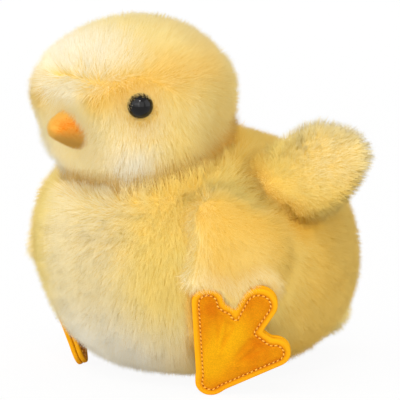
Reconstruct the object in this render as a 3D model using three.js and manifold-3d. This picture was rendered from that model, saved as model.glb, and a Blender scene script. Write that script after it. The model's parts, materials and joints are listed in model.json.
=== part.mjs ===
// Plush chick: a small sitting soft toy of long pile over stuffing, with felt feet and bead eyes.
// Millimetres, +Z up. The chick faces -Y, so its left side is +X, and it sits on Z = 0.
// A fur cover is a solid of backing and pile together, so its outer face is the tips of the pile.
// Azimuths are degrees from straight ahead towards the chick's left.

import * as THREE from 'three';
import { mergeVertices } from 'three/addons/utils/BufferGeometryUtils.js';
import Module from 'manifold-3d';

const wasm = await Module();
wasm.setup();

// Clearances between pieces, and the thickness of the fur covers
const seamGap = 0.3;
const fitGap = 0.3;
const turningGap = 0.5;
const bodyPile = 5.5;
const headPile = 5.5;
const limbPile = 3.2;
const groundCut = 0.5;

// Body: a full egg with a high chest and a low rump
const bodyHalfWidth = 46.8;
const bodyHalfLength = 50.6;
const bodyHalfHeight = 39.6;
const bodyFullness = 2.2;
const chestForward = 16;
const chestHeight = 49;
const chestHalfWidth = 39;
const chestHalfLength = 35;
const chestHalfHeight = 27;
const rumpBack = 15;
const rumpHeight = 32;
const rumpHalfWidth = 39;
const rumpHalfLength = 35;
const rumpHalfHeight = 28;
const bodySoftness = 8;

// Body panels: a belly gusset between two sides, and a round base
const bellyHalfWidth = 18;
const bellyBack = 8;
const baseRadius = 25;
const baseRise = 12;

// Pellet bag in a pocket of the stuffing, over the base panel
const pelletBagRadius = 21;
const pelletBagTop = 23;

// Head: cranium, brow and two cheeks, with dents where the pile is trimmed round beak and eyes
const headForward = 26;
const headHeight = 89.6;
const craniumHalfWidth = 30.8;
const craniumHalfLength = 31;
const craniumHalfHeight = 27.8;
const browForward = 4;
const browRise = 5.2;
const browHalfWidth = 32.6;
const browHalfLength = 31.4;
const browHalfHeight = 17.5;
const cheekSpread = 13;
const cheekForward = 7;
const cheekDrop = 12;
const cheekHalfWidth = 17;
const cheekHalfLength = 18;
const cheekHalfHeight = 13;
const headSoftness = 7;
const beakDentRadius = 17;
const beakDentDepth = 6.5;
const eyeDentRadius = 13;
const eyeDentDepth = 3;

// Seam of the cap: it climbs from over the beak past the eyes and runs level round the back
const capSeamFront = 94;
const capSeamSlope = 32;
const capSeamLevel = 106;

// Neck: a stuffed plug that turns in a dish of the body and carries the head's rounded underside
const neckPivotHeight = 92;
const dishRadius = 35.2;
const neckRadius = 11;
const neckTopRadius = 29.8;
const neckRoomRadius = 17.5;
const headRoomDrop = 9;

// Bead eyes on shanks, each held by a washer inside the face
const eyeRadius = 4;
const eyeAzimuth = 50;
const eyeHeight = 91.9;
const eyeProud = -1.2;
const eyeShankRadius = 1.2;
const eyeWasherRadius = 4.5;
const eyeWasherThickness = 1.4;

// Beak: a short blunt cone of short pile, with its root in the pile of the face
const beakHeight = 83.9;
const beakRadius = 6.5;
const beakTipRadius = 3.8;
const beakLength = 13.4;
const beakRoot = 3.4;
const beakTipFrom = 110;
const beakCoverThickness = 1.6;

// Wings: flat stuffed paddles with two lobes at the tip, raised and swept back
const wingRootX = 35.6;
const wingRootY = -0.5;
const wingRootZ = 64.1;
const wingSweep = 38;
const wingRise = 20;
const wingTwist = 18;
const wingRootRadius = 9.5;
const wingPalmAt = 10.5;
const wingPalmHalfLength = 18;
const wingHalfWidth = 14.5;
const wingHalfThickness = 7.5;
const wingTipAt = 21.5;
const wingTipRise = 2.5;
const wingTipHalfLength = 11.5;
const wingTipHalfWidth = 10;
const wingTipHalfThickness = 6.5;
const wingUpperLobeAt = 17;
const wingUpperLobeRise = 8;
const wingUpperLobeRadius = 7.5;
const wingSoftness = 3;
const wingSeatAzimuth = 90;
const wingSeatSlope = 32;
const wingStandOff = 0.6;
const wingFlapBack = 15;
const wingFlapForward = 30;

// Thighs: stuffed lobes sewn onto the sides, over the feet
const thighAzimuth = 61;
const thighHeight = 43.5;
const thighTilt = 30;
const thighSlope = 10;
const thighHalfWidth = 17.5;
const thighHalfHeight = 15;
const thighHalfThickness = 10;
const thighTipRise = 13;
const thighTipHalfWidth = 9.5;
const thighTipHalfHeight = 11;
const thighTipHalfThickness = 8;
const thighSunk = 4.8;
const thighSoftness = 5;

// Feet: two layers of felt with wadding between, on short ankle stubs
const footAzimuth = 48;
const footHeelOut = 39;
const footHeelAside = 3.4;
const footGroundGap = 0.2;
const footLean = 20;
const footTurn = 28;
const heelRadius = 4.5;
const middleToeLength = 31.2;
const middleToeRadius = 5.9;
const innerToeLength = 28.4;
const innerToeAngle = 30;
const outerToeLength = 22.4;
const outerToeAngle = 34;
const sideToeRadius = 5;
const toeWebRadius = 3.2;
const feltThickness = 1.4;
const waddingPocket = 0.8;
const waddingGap = 0.2;
const waddingInset = 2.6;
const ankleRadius = 4;
const ankleAlong = 10;
const footTiltIn = 6;
const footTiltOut = 22;
const footRoomMargin = 1;
const footRoomDepth = 30;

// Tail: a stuffed tuft low on the back
const tailBack = 52.5;
const tailHeight = 13;
const tailHalfWidth = 11;
const tailHalfLength = 14;
const tailHalfHeight = 10.5;

// Fineness of the meshes
const bodyDetail = 5;
const bodyInnerDetail = 3;
const headDetail = 5;
const headInnerDetail = 3;
const limbDetail = 3;
const smallDetail = 2;
const roundSegments = 24;
const middleSegments = 16;
const smallSegments = 12;
const arcSteps = 4;
const eyeSteps = 8;
const footCurveSteps = 3;
const swingCurveSteps = 2;
const innerCurveSteps = 1;

const fineness = 1e-4;
const far = 200;
const { degToRad, radToDeg } = THREE.MathUtils;
const upward = new THREE.Vector3(0, 0, 1);
const headCentre = new THREE.Vector3(0, -headForward, headHeight);
const neckPivot = new THREE.Vector3(0, -headForward, neckPivotHeight);

// Solids and meshes

function solidOf(geometry) {
  const bare = geometry.clone();
  bare.deleteAttribute('normal');
  bare.deleteAttribute('uv');
  const merged = mergeVertices(bare, fineness);
  return new wasm.Manifold(new wasm.Mesh({
    numProp: 3,
    vertProperties: new Float32Array(merged.attributes.position.array),
    triVerts: new Uint32Array(merged.index.array),
  }));
}

function geometryOf(solid) {
  const mesh = solid.getMesh();
  const geometry = new THREE.BufferGeometry();
  geometry.setAttribute('position', new THREE.BufferAttribute(new Float32Array(mesh.vertProperties), 3));
  geometry.setIndex(new THREE.BufferAttribute(new Uint32Array(mesh.triVerts), 1));
  geometry.computeVertexNormals();
  return geometry;
}

// The same solid on the other side of the chick, with its faces still pointing out
function mirrored(solid) {
  const geometry = geometryOf(solid).scale(-1, 1, 1);
  const index = geometry.index.array;
  for (let i = 0; i < index.length; i += 3) {
    [index[i + 1], index[i + 2]] = [index[i + 2], index[i + 1]];
  }
  return solidOf(geometry);
}

function withMirror(solid) {
  return solid.add(mirrored(solid));
}

function placed(solid, matrix) {
  return solidOf(geometryOf(solid).applyMatrix4(matrix));
}

function moved(solid, point) {
  return placed(solid, new THREE.Matrix4().makeTranslation(point));
}

function cut(solid, ...cutters) {
  return cutters.reduce((left, cutter) => left.subtract(cutter), solid);
}

function joined(solids) {
  return solids.reduce((sum, solid) => sum.add(solid));
}

// A solid turned about a line to one angle, joined with itself turned to another
function atLimits(solid, point, axis, ...angles) {
  return joined(angles.map((degrees) => placed(solid, new THREE.Matrix4().makeTranslation(point)
    .multiply(new THREE.Matrix4().makeRotationAxis(axis, degToRad(degrees)))
    .multiply(new THREE.Matrix4().makeTranslation(point.clone().negate())))));
}

// Rounded forms: lobes that melt into one another

function lobe(x, y, z, halfX, halfY, halfZ, fullness = 2) {
  return { at: new THREE.Vector3(x, y, z), half: new THREE.Vector3(halfX, halfY, halfZ), fullness };
}

function lobeDistance({ at, half, fullness }, p) {
  let sum = 0;
  let slope = 0;
  for (const axis of ['x', 'y', 'z']) {
    const share = Math.abs(p[axis] - at[axis]) / half[axis];
    sum += share ** fullness;
    slope += (share ** (fullness - 1) / half[axis]) ** 2;
  }
  const level = sum ** (1 / fullness);
  return (level - 1) * level ** (fullness - 1) / Math.max(Math.sqrt(slope), 1e-6);
}

function softMinimum(a, b, softness) {
  const mix = Math.max(softness - Math.abs(a - b), 0) / softness;
  return Math.min(a, b) - mix * mix * softness / 4;
}

function formDistance(form, p) {
  const distance = form.lobes
    .map((each) => lobeDistance(each, p))
    .reduce((a, b) => softMinimum(a, b, form.softness));
  return form.trim ? distance + form.trim(p) : distance;
}

// Way from a point inside a form to its face, along a direction, at a depth below that face
function reach(form, from, direction, depth) {
  let inside = 0;
  let outside = far;
  while (outside - inside > fineness) {
    const middle = (inside + outside) / 2;
    const p = from.clone().addScaledVector(direction, middle);
    if (formDistance(form, p) < -depth) inside = middle;
    else outside = middle;
  }
  return inside;
}

// The form as a solid, drawn in from its face by a depth, or grown by a negative one
function formSolid(form, depth, detail) {
  const globe = new THREE.IcosahedronGeometry(1, detail);
  const position = globe.attributes.position;
  const direction = new THREE.Vector3();
  for (let i = 0; i < position.count; i += 1) {
    direction.fromBufferAttribute(position, i).normalize();
    const p = form.centre.clone().addScaledVector(direction, reach(form, form.centre, direction, depth));
    position.setXYZ(i, p.x, p.y, p.z);
  }
  return solidOf(globe);
}

// Plain solids

function box(fromX, fromY, fromZ, toX, toY, toZ) {
  const geometry = new THREE.BoxGeometry(toX - fromX, toY - fromY, toZ - fromZ);
  geometry.translate((fromX + toX) / 2, (fromY + toY) / 2, (fromZ + toZ) / 2);
  return solidOf(geometry);
}

// A lathe about its own Z axis, from pairs of radius and height
function turned(points, segments = roundSegments) {
  const profile = points.map(([radius, height]) => new THREE.Vector2(radius, height));
  return solidOf(new THREE.LatheGeometry(profile, segments).rotateX(Math.PI / 2));
}

// Profile of a sphere's arc about the origin, by its angle from straight down
function arc(radius, fromDegrees, toDegrees, steps) {
  const points = [];
  for (let step = 0; step <= steps; step += 1) {
    const angle = degToRad(fromDegrees + (toDegrees - fromDegrees) * step / steps);
    points.push([Math.abs(radius * Math.sin(angle)), -radius * Math.cos(angle)]);
  }
  return points;
}

function ball(centre, radius, segments = roundSegments) {
  return moved(turned(arc(radius, 0, 180, segments / 2), segments), centre);
}

function cylinder(radius, from, to, segments = roundSegments) {
  return turned([[0, from], [radius, from], [radius, to], [0, to]], segments);
}

function outwards(azimuth) {
  return new THREE.Vector3(Math.sin(degToRad(azimuth)), -Math.cos(degToRad(azimuth)), 0);
}

// A frame whose Z axis points outward, with its Y axis in the plane of outward and upwards
function frameAt(origin, outward, upwards) {
  const z = outward.clone().normalize();
  const x = upwards.clone().cross(z).normalize();
  const y = z.clone().cross(x);
  return new THREE.Matrix4().makeBasis(x, y, z).setPosition(origin);
}

// The model's group and its finishes

const group = new THREE.Group();
const creamPile = { color: 0xf1dc92, roughness: 0.95 };
const wadding = { color: 0xf4f1e8, roughness: 1 };
const calico = { color: 0xe8dcc0, roughness: 0.9 };
const orangePile = { color: 0xee8c1c, roughness: 0.9 };
const orangeFelt = { color: 0xf0a312, roughness: 0.95 };
const blackGloss = { color: 0x0c0b0b, roughness: 0.08 };
const whitePlastic = { color: 0xe9e7e0, roughness: 0.5 };

function add(name, solid, finish) {
  const mesh = new THREE.Mesh(geometryOf(solid), new THREE.MeshStandardMaterial({ ...finish, metalness: 0 }));
  mesh.name = name;
  group.add(mesh);
}

function addPair(kind, suffix, leftSolid, finish) {
  add(`${kind}_left${suffix}`, leftSolid, finish);
  add(`${kind}_right${suffix}`, mirrored(leftSolid), finish);
}

// Forms of body, head and tail

const bodyForm = {
  centre: new THREE.Vector3(0, 0, bodyHalfHeight - groundCut),
  softness: bodySoftness,
  lobes: [
    lobe(0, 0, bodyHalfHeight - groundCut, bodyHalfWidth, bodyHalfLength, bodyHalfHeight, bodyFullness),
    lobe(0, -chestForward, chestHeight, chestHalfWidth, chestHalfLength, chestHalfHeight),
    lobe(0, rumpBack, rumpHeight, rumpHalfWidth, rumpHalfLength, rumpHalfHeight),
  ],
};

const headForm = {
  centre: headCentre,
  softness: headSoftness,
  lobes: [
    lobe(0, headCentre.y, headCentre.z, craniumHalfWidth, craniumHalfLength, craniumHalfHeight),
    lobe(0, headCentre.y - browForward, headCentre.z + browRise,
      browHalfWidth, browHalfLength, browHalfHeight),
    ...[1, -1].map((side) => lobe(side * cheekSpread, headCentre.y - cheekForward, headCentre.z - cheekDrop,
      cheekHalfWidth, cheekHalfLength, cheekHalfHeight)),
  ],
};

const tailForm = {
  centre: new THREE.Vector3(0, tailBack, tailHeight),
  softness: 0,
  lobes: [lobe(0, tailBack, tailHeight, tailHalfWidth, tailHalfLength, tailHalfHeight)],
};

// A point on a form's face at a height, out from the upright line through the form's centre
function onForm(form, azimuth, height) {
  const from = new THREE.Vector3(form.centre.x, form.centre.y, height);
  return from.clone().addScaledVector(outwards(azimuth), reach(form, from, outwards(azimuth), 0));
}

function dent(p, centre, radius, depth) {
  const share = Math.min(1, p.distanceTo(centre) / radius);
  return depth * (1 - share * share) ** 2;
}

const beakDentCentre = onForm(headForm, 0, beakHeight);
const eyeDentCentres = [eyeAzimuth, -eyeAzimuth].map((azimuth) => onForm(headForm, azimuth, eyeHeight));
headForm.trim = (p) => Math.max(
  dent(p, beakDentCentre, beakDentRadius, beakDentDepth),
  ...eyeDentCentres.map((centre) => dent(p, centre, eyeDentRadius, eyeDentDepth)),
);

// Neck: the plug, and the cutters for the dish below it and for the head's room to nod over it

const liningRadius = dishRadius + bodyPile;
const plugFootRadius = liningRadius - fitGap;

function plugAngle(radius) {
  return radToDeg(Math.asin(neckRadius / radius));
}

const neckPlug = moved(turned([
  ...arc(plugFootRadius, 0, plugAngle(plugFootRadius), arcSteps),
  ...arc(neckTopRadius, plugAngle(neckTopRadius), 0, arcSteps),
]), neckPivot);
const neckHole = moved(cylinder(neckRadius + fitGap, -liningRadius - seamGap, 0), neckPivot);
const dish = ball(neckPivot, dishRadius);
const dishLining = ball(neckPivot, liningRadius);
const dishStuffing = ball(neckPivot, liningRadius + seamGap);
const neckTopBall = ball(neckPivot, neckTopRadius - turningGap);
const neckRoom = cut(moved(cylinder(neckRoomRadius, -far, 0), neckPivot), neckTopBall);
const headRoomLimit = cut(
  box(-far, -far, -far, far, far, neckPivot.z - headRoomDrop),
  ball(neckPivot, dishRadius - turningGap),
);

// Wing in its own frame: X along the wing, Y up across it, Z out of its front face

const wingForm = {
  centre: new THREE.Vector3(wingPalmAt, 0, 0),
  softness: wingSoftness,
  lobes: [
    lobe(0, 0, 0, wingRootRadius, wingRootRadius, wingHalfThickness),
    lobe(wingPalmAt, 0, 0, wingPalmHalfLength, wingHalfWidth, wingHalfThickness),
    lobe(wingTipAt, wingTipRise, 0, wingTipHalfLength, wingTipHalfWidth, wingTipHalfThickness),
    lobe(wingUpperLobeAt, wingUpperLobeRise, 0,
      wingUpperLobeRadius, wingUpperLobeRadius, wingTipHalfThickness),
  ],
};
const wingRoot = new THREE.Vector3(wingRootX, wingRootY, wingRootZ);
const wingAlong = outwards(90 + wingSweep).multiplyScalar(Math.cos(degToRad(wingRise)))
  .addScaledVector(upward, Math.sin(degToRad(wingRise)));
const wingFront = wingAlong.clone().cross(upward).normalize().applyAxisAngle(wingAlong, -degToRad(wingTwist));
const wingAcross = wingFront.clone().cross(wingAlong);
const wingFrame = new THREE.Matrix4().makeBasis(wingAlong, wingAcross, wingFront).setPosition(wingRoot);
const wingSeatOut = outwards(wingSeatAzimuth).multiplyScalar(Math.cos(degToRad(wingSeatSlope)))
  .addScaledVector(upward, Math.sin(degToRad(wingSeatSlope)));
const wingSeat = wingRoot.clone().addScaledVector(wingSeatOut, reach(bodyForm, wingRoot, wingSeatOut, 0));
const wingBall = ball(wingRoot, wingRootRadius, middleSegments);
const wingSocket = ball(wingRoot, wingRootRadius + turningGap, middleSegments);

// Thigh in its own frame: Z out of the body, Y up along the lobe

const thighForm = {
  centre: new THREE.Vector3(0, 0, 0),
  softness: thighSoftness,
  lobes: [
    lobe(0, 0, 0, thighHalfWidth, thighHalfHeight, thighHalfThickness),
    lobe(0, thighTipRise, 0, thighTipHalfWidth, thighTipHalfHeight, thighTipHalfThickness),
  ],
};
const thighOut = outwards(thighAzimuth).multiplyScalar(Math.cos(degToRad(thighSlope)))
  .addScaledVector(upward, Math.sin(degToRad(thighSlope)));
const thighSeat = onForm(bodyForm, thighAzimuth, thighHeight).addScaledVector(thighOut, -thighSunk);
const thighFrame = frameAt(thighSeat, thighOut, upward.clone().applyAxisAngle(thighOut, degToRad(thighTilt)));

// Foot in its own frame: origin at the heel's centre, X along the body, Y up the sole, Z out of it

// A slab with the outline of two circles and their common tangents
function roundedBar(start, startRadius, end, endRadius, from, to, curveSegments) {
  const span = end.clone().sub(start);
  const way = span.angle();
  const tangent = Math.PI / 2 + Math.asin((startRadius - endRadius) / span.length());
  const shape = new THREE.Shape();
  shape.absarc(end.x, end.y, endRadius, way - Math.PI + tangent, way + Math.PI - tangent);
  shape.absarc(start.x, start.y, startRadius, way + Math.PI - tangent, way + Math.PI + tangent);
  const geometry = new THREE.ExtrudeGeometry(shape, { depth: to - from, bevelEnabled: false, curveSegments });
  return solidOf(geometry.translate(0, 0, from));
}

function alongSole(length, degrees) {
  return new THREE.Vector2(length * Math.sin(degToRad(degrees)), length * Math.cos(degToRad(degrees)));
}

// The three-toed outline as a slab, grown by a margin or drawn in by a negative one
function footSlab(growth, from, to, curveSteps = innerCurveSteps) {
  const heel = alongSole(0, 0);
  const sideToes = [
    alongSole(innerToeLength, footTurn - innerToeAngle),
    alongSole(outerToeLength, footTurn + outerToeAngle),
  ];
  const middleToe = alongSole(middleToeLength, footTurn);
  return joined([
    roundedBar(heel, heelRadius + growth, middleToe, middleToeRadius + growth, from, to, curveSteps),
    ...sideToes.map((toe) => roundedBar(heel, heelRadius + growth, toe, sideToeRadius + growth,
      from, to, curveSteps)),
    roundedBar(sideToes[0], toeWebRadius + growth, sideToes[1], toeWebRadius + growth, from, to, 1),
  ]);
}

const footThickness = 2 * feltThickness + seamGap;
const footOut = outwards(footAzimuth);
const footSide = upward.clone().cross(footOut);
const footUp = upward.clone().multiplyScalar(Math.cos(degToRad(footLean)))
  .addScaledVector(footOut, Math.sin(degToRad(footLean)));
const soleOut = footSide.clone().cross(footUp);
const footOrigin = footOut.clone().multiplyScalar(footHeelOut)
  .addScaledVector(footSide, footHeelAside)
  .setZ(footGroundGap + heelRadius * footUp.z - footThickness * soleOut.z);
const footFrame = new THREE.Matrix4().makeBasis(footSide, footUp, soleOut).setPosition(footOrigin);
const ankleCentre = new THREE.Vector3(
  ankleAlong * Math.sin(degToRad(footTurn)),
  ankleAlong * Math.cos(degToRad(footTurn)),
  -ankleRadius - fitGap,
);
const anklePoint = ankleCentre.clone().applyMatrix4(footFrame);
const footSwing = atLimits(
  placed(footSlab(footRoomMargin, -fitGap, footRoomDepth, swingCurveSteps), footFrame),
  anklePoint, footSide, -footTiltIn, footTiltOut,
);

// Body: its outer form, what is set into it, and then its covers, stuffing and pellet bag

const ground = box(-far, -far, -far, far, far, 0);
const ankleLength = bodyPile + 2 * ankleRadius;
const ankle = placed(moved(turned([
  [0, -ankleLength], [ankleRadius, -ankleLength], ...arc(ankleRadius, 90, 180, arcSteps),
], smallSegments), ankleCentre), footFrame);
const ankleHole = placed(
  moved(cylinder(ankleRadius + fitGap, -ankleLength - fitGap, far, smallSegments), ankleCentre),
  footFrame,
);
const setIntoBody = [wingSocket, footSwing].map(withMirror);
const bodyOuter = cut(formSolid(bodyForm, 0, bodyDetail), ground, dish);
const bodyCover = cut(bodyOuter, cut(formSolid(bodyForm, bodyPile, bodyInnerDetail), dishLining),
  ...setIntoBody, withMirror(ankleHole), neckHole);

function gusset(gap) {
  return box(-bellyHalfWidth - gap, -far, -far, bellyHalfWidth + gap, bellyBack + gap, far);
}

function baseDisc(gap) {
  return cylinder(baseRadius + gap, -far, baseRise + gap);
}

const leftSide = box(seamGap / 2, -far, -far, far, far, far);
add('body_base_panel', bodyCover.intersect(baseDisc(0)), creamPile);
add('body_belly_panel', cut(bodyCover.intersect(gusset(0)), baseDisc(seamGap)), creamPile);
addPair('body', '_panel', cut(bodyCover.intersect(leftSide), gusset(seamGap), baseDisc(seamGap)), creamPile);

const pelletPocket = cylinder(pelletBagRadius + fitGap, -far, pelletBagTop + fitGap);
const bodyStuffing = cut(formSolid(bodyForm, bodyPile + seamGap, bodyInnerDetail), dishStuffing,
  ...setIntoBody, withMirror(ankleHole), pelletPocket);
add('body_stuffing', bodyStuffing, wadding);
const pelletBag = cylinder(pelletBagRadius, -far, pelletBagTop)
  .intersect(formSolid(bodyForm, bodyPile + fitGap, bodyInnerDetail));
add('pellet_bag', pelletBag, calico);
addPair('ankle', '', ankle, orangeFelt);

// Thighs: covers over stuffing, clear of the feet as they tilt

const aroundBody = formSolid(bodyForm, -fitGap, bodyDetail);
const thighInner = placed(formSolid(thighForm, limbPile, smallDetail), thighFrame);
const thighCore = placed(formSolid(thighForm, limbPile + seamGap, smallDetail), thighFrame);
const thighOuter = placed(formSolid(thighForm, 0, limbDetail), thighFrame);
addPair('thigh', '_cover', cut(thighOuter, aroundBody, footSwing, thighInner), creamPile);
addPair('thigh', '_stuffing', cut(thighCore, aroundBody, footSwing), wadding);

// Tail: a cover over stuffing, seated on the rump

const tailInner = formSolid(tailForm, limbPile, smallDetail);
const tailCore = formSolid(tailForm, limbPile + seamGap, smallDetail);
add('tail_cover', cut(formSolid(tailForm, 0, limbDetail), aroundBody, tailInner), creamPile);
add('tail_stuffing', cut(tailCore, aroundBody), wadding);

// Wings: two panels over stuffing, with a ball root that turns in its socket in the body

const wingHinge = wingAcross.clone().negate();
const wingSeatFrame = frameAt(wingSeat, wingSeatOut, upward);
const bodySide = placed(box(-far, -far, -far, far, far, wingStandOff), wingSeatFrame);
const wingClearance = cut(atLimits(bodySide, wingRoot, wingHinge, -wingFlapForward, wingFlapBack), wingBall);
const wingOuter = cut(placed(formSolid(wingForm, 0, limbDetail), wingFrame), wingClearance);
const wingInner = placed(formSolid(wingForm, limbPile, smallDetail), wingFrame);
const wingCore = placed(formSolid(wingForm, limbPile + seamGap, smallDetail), wingFrame);
const frontOfWing = placed(box(-far, -far, seamGap / 2, far, far, far), wingFrame);
const backOfWing = placed(box(-far, -far, -far, far, far, -seamGap / 2), wingFrame);
const wingCover = cut(wingOuter, wingInner);
addPair('wing', '_front_panel', wingCover.intersect(frontOfWing), creamPile);
addPair('wing', '_back_panel', wingCover.intersect(backOfWing), creamPile);
addPair('wing', '_stuffing', cut(wingCore, wingClearance), wadding);

// Feet: back felt, and sole felt with a shallow pocket for the wadding

const pocketFloor = feltThickness + seamGap + waddingPocket;
const pocket = footSlab(-waddingInset, 0, pocketFloor);
const backFelt = footSlab(0, 0, feltThickness, footCurveSteps);
const soleFelt = cut(footSlab(0, feltThickness + seamGap, footThickness, footCurveSteps), pocket);
const footWadding = footSlab(-waddingInset - fitGap, feltThickness + waddingGap, pocketFloor - waddingGap);
addPair('foot', '_sole_felt', placed(soleFelt, footFrame), orangeFelt);
addPair('foot', '_back_felt', placed(backFelt, footFrame), orangeFelt);
addPair('foot', '_wadding', placed(footWadding, footFrame), wadding);

// Eyes: beads on shanks, with a washer behind the cover of the face

const eyeOut = outwards(eyeAzimuth);
const faceAtEye = onForm(headForm, eyeAzimuth, eyeHeight);
const eyeFrame = frameAt(faceAtEye.addScaledVector(eyeOut, eyeProud), eyeOut, upward);
const washerFront = -eyeProud - headPile - fitGap;
const washerBack = washerFront - eyeWasherThickness;
const shankEnd = washerBack - eyeWasherThickness;
const shank = cylinder(eyeShankRadius, shankEnd, 0, smallSegments);
const bead = placed(turned(arc(eyeRadius, 0, 180, eyeSteps), middleSegments).add(shank), eyeFrame);
const washer = placed(cut(
  cylinder(eyeWasherRadius, washerBack, washerFront, smallSegments),
  cylinder(eyeShankRadius + fitGap, -far, far, smallSegments),
), eyeFrame);
const beadHole = placed(joined([
  turned(arc(eyeRadius + 2 * fitGap, 0, 180, smallSegments / 2), smallSegments),
  cylinder(eyeShankRadius + fitGap, shankEnd - fitGap, 0, smallSegments),
]), eyeFrame);
const washerPocket = placed(
  cylinder(eyeWasherRadius + 2 * fitGap, washerBack - fitGap, 0, smallSegments),
  eyeFrame,
);
addPair('eye', '', bead, blackGloss);
addPair('eye', '_washer', washer, whitePlastic);

// Beak: a blunt cone with its root in the pile of the face, open behind and stuffed

function beakCone(margin, root) {
  const tip = beakTipRadius - margin;
  const nose = beakLength - beakTipRadius;
  return turned([
    [0, root],
    [beakRadius - margin, root],
    [beakRadius - margin, beakRoot],
    ...arc(tip, beakTipFrom, 180, arcSteps).map(([radius, height]) => [radius, height + nose]),
  ], middleSegments);
}

const beakOut = outwards(0);
const faceAtBeak = onForm(headForm, 0, beakHeight);
const beakFrame = frameAt(faceAtBeak.addScaledVector(beakOut, -beakRoot), beakOut, upward);
const beakHollow = placed(beakCone(beakCoverThickness, -far), beakFrame);
const beakStuffing = placed(beakCone(beakCoverThickness + fitGap, 0), beakFrame);
const beakSocket = placed(beakCone(-fitGap, -fitGap), beakFrame);
add('beak_cover', cut(placed(beakCone(0, 0), beakFrame), beakHollow), orangePile);
add('beak_stuffing', beakStuffing, wadding);

// Head: cap over two cheek panels, stuffing, and the neck that it nods on

const headOuter = cut(formSolid(headForm, 0, headDetail), neckRoom, headRoomLimit);
const headCover = cut(headOuter, formSolid(headForm, headPile, headInnerDetail),
  moved(cylinder(neckRadius + fitGap, -far, 0), neckPivot), withMirror(beadHole), beakSocket);

function underCap(gap) {
  const face = headCentre.y - craniumHalfLength;
  const slope = new THREE.Matrix4().makeTranslation(0, face, capSeamFront + gap)
    .multiply(new THREE.Matrix4().makeRotationX(degToRad(capSeamSlope)));
  return placed(box(-far, -far, -far, far, far, 0), slope)
    .intersect(box(-far, -far, -far, far, far, capSeamLevel + gap));
}

add('head_cap_panel', cut(headCover, underCap(seamGap)), creamPile);
addPair('head', '_cheek_panel', headCover.intersect(underCap(0)).intersect(leftSide), creamPile);
const neckEnd = moved(cylinder(neckRadius, -far, 0), neckPivot).intersect(neckTopBall);
const headStuffing = cut(
  formSolid(headForm, headPile + seamGap, headInnerDetail).add(neckEnd),
  neckRoom, beakSocket, withMirror(beadHole), withMirror(washerPocket),
);
add('head_stuffing', headStuffing, wadding);
add('neck_stuffing', neckPlug, wadding);

// The origin is under the middle of the chick's box, on the ground

group.updateMatrixWorld(true);
const extent = new THREE.Box3().setFromObject(group);
group.position.y = -(extent.min.y + extent.max.y) / 2;
group.updateMatrixWorld(true);

export default group;
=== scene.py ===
"""Plush chick, dressed: pile grown over shaped skins, stitched felt feet, bead eyes and a pile beak.

Lengths are in metres, in the CAD frame: +Z up, the chick faces -Y and its left side is +X.
"""

import json
import logging
import math
from dataclasses import dataclass
from enum import Enum

import bmesh
import bpy
import numpy as np
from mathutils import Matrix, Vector
from mathutils.bvhtree import BVHTree
from mathutils.geometry import delaunay_2d_cdt


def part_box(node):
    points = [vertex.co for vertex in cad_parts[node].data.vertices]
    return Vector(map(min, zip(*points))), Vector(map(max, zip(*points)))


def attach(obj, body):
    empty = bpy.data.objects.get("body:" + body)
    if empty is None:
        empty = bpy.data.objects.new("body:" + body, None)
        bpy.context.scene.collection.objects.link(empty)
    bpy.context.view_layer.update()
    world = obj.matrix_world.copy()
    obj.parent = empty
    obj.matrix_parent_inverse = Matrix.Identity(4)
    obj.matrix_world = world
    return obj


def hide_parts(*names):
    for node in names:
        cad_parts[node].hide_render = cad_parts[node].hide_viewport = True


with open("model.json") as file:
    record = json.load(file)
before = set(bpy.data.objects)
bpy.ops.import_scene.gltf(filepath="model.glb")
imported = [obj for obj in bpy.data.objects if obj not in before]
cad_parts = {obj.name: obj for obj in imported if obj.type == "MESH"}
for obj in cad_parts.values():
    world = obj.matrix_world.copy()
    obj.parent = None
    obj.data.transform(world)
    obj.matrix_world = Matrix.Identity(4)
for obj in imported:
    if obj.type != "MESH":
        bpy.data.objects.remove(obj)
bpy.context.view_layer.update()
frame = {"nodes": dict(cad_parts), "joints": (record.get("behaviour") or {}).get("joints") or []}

LOG = logging.getLogger("chick")
MM = 0.001
FAR = 50 * MM
UP = np.array((0.0, 0.0, 1.0))
DOWN = -UP
FORWARD = np.array((0.0, -1.0, 0.0))
SEED = 20
ALL = slice(None)
ALIGN = "FunctionNodeAlignRotationToVector"

Array = np.ndarray
Colour = tuple[float, float, float]
Pair = tuple[float, float]
Socket = bpy.types.NodeSocket
Panel = tuple[str, Array | slice, int]


class Side(Enum):
    """The chick's left or right, with the sign of its X."""

    LEFT = 1.0
    RIGHT = -1.0

    @property
    def word(self) -> str:
        """Its name in nodes and pieces."""
        return self.name.lower()


# Small helpers


def unit(vectors: Array) -> Array:
    """Vectors at unit length, with nothing divided by zero."""
    return vectors / np.maximum(np.linalg.norm(vectors, axis=-1, keepdims=True), 1e-12)


def across(vectors: Array, normals: Array) -> Array:
    """The part of each vector that lies along the surface."""
    return vectors - (vectors * normals).sum(axis=-1, keepdims=True) * normals


def ramp(low: float, high: float, values: Array) -> Array:
    """Smooth step from 0 at low to 1 at high, which may be the lower number."""
    t = np.clip((values - low) / (high - low), 0.0, 1.0)
    return t * t * (3.0 - 2.0 * t)


def hump(values: Array, width: float) -> Array:
    """A bell from 1 at zero down to nearly 0 past a width."""
    return np.exp(-((values / width) ** 2))


def outwards(azimuth: float) -> Array:
    """Level direction at an azimuth in degrees from straight ahead towards the chick's left."""
    a = math.radians(azimuth)
    return np.array((math.sin(a), -math.cos(a), 0.0))


def linear(colour: Colour) -> tuple[float, float, float, float]:
    """A colour as it shows, made into the linear RGBA that sockets take."""
    made = [c / 12.92 if c <= 0.04045 else ((c + 0.055) / 1.055) ** 2.4 for c in colour]
    return (made[0], made[1], made[2], 1.0)


@dataclass(frozen=True)
class Fade:
    """A smooth change from nothing at one value to its whole amount at another."""

    start: float
    end: float
    amount: float = 1.0

    def __call__(self, values: Array) -> Array:
        """How much there is at each value."""
        return self.amount * ramp(self.start, self.end, values)


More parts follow.
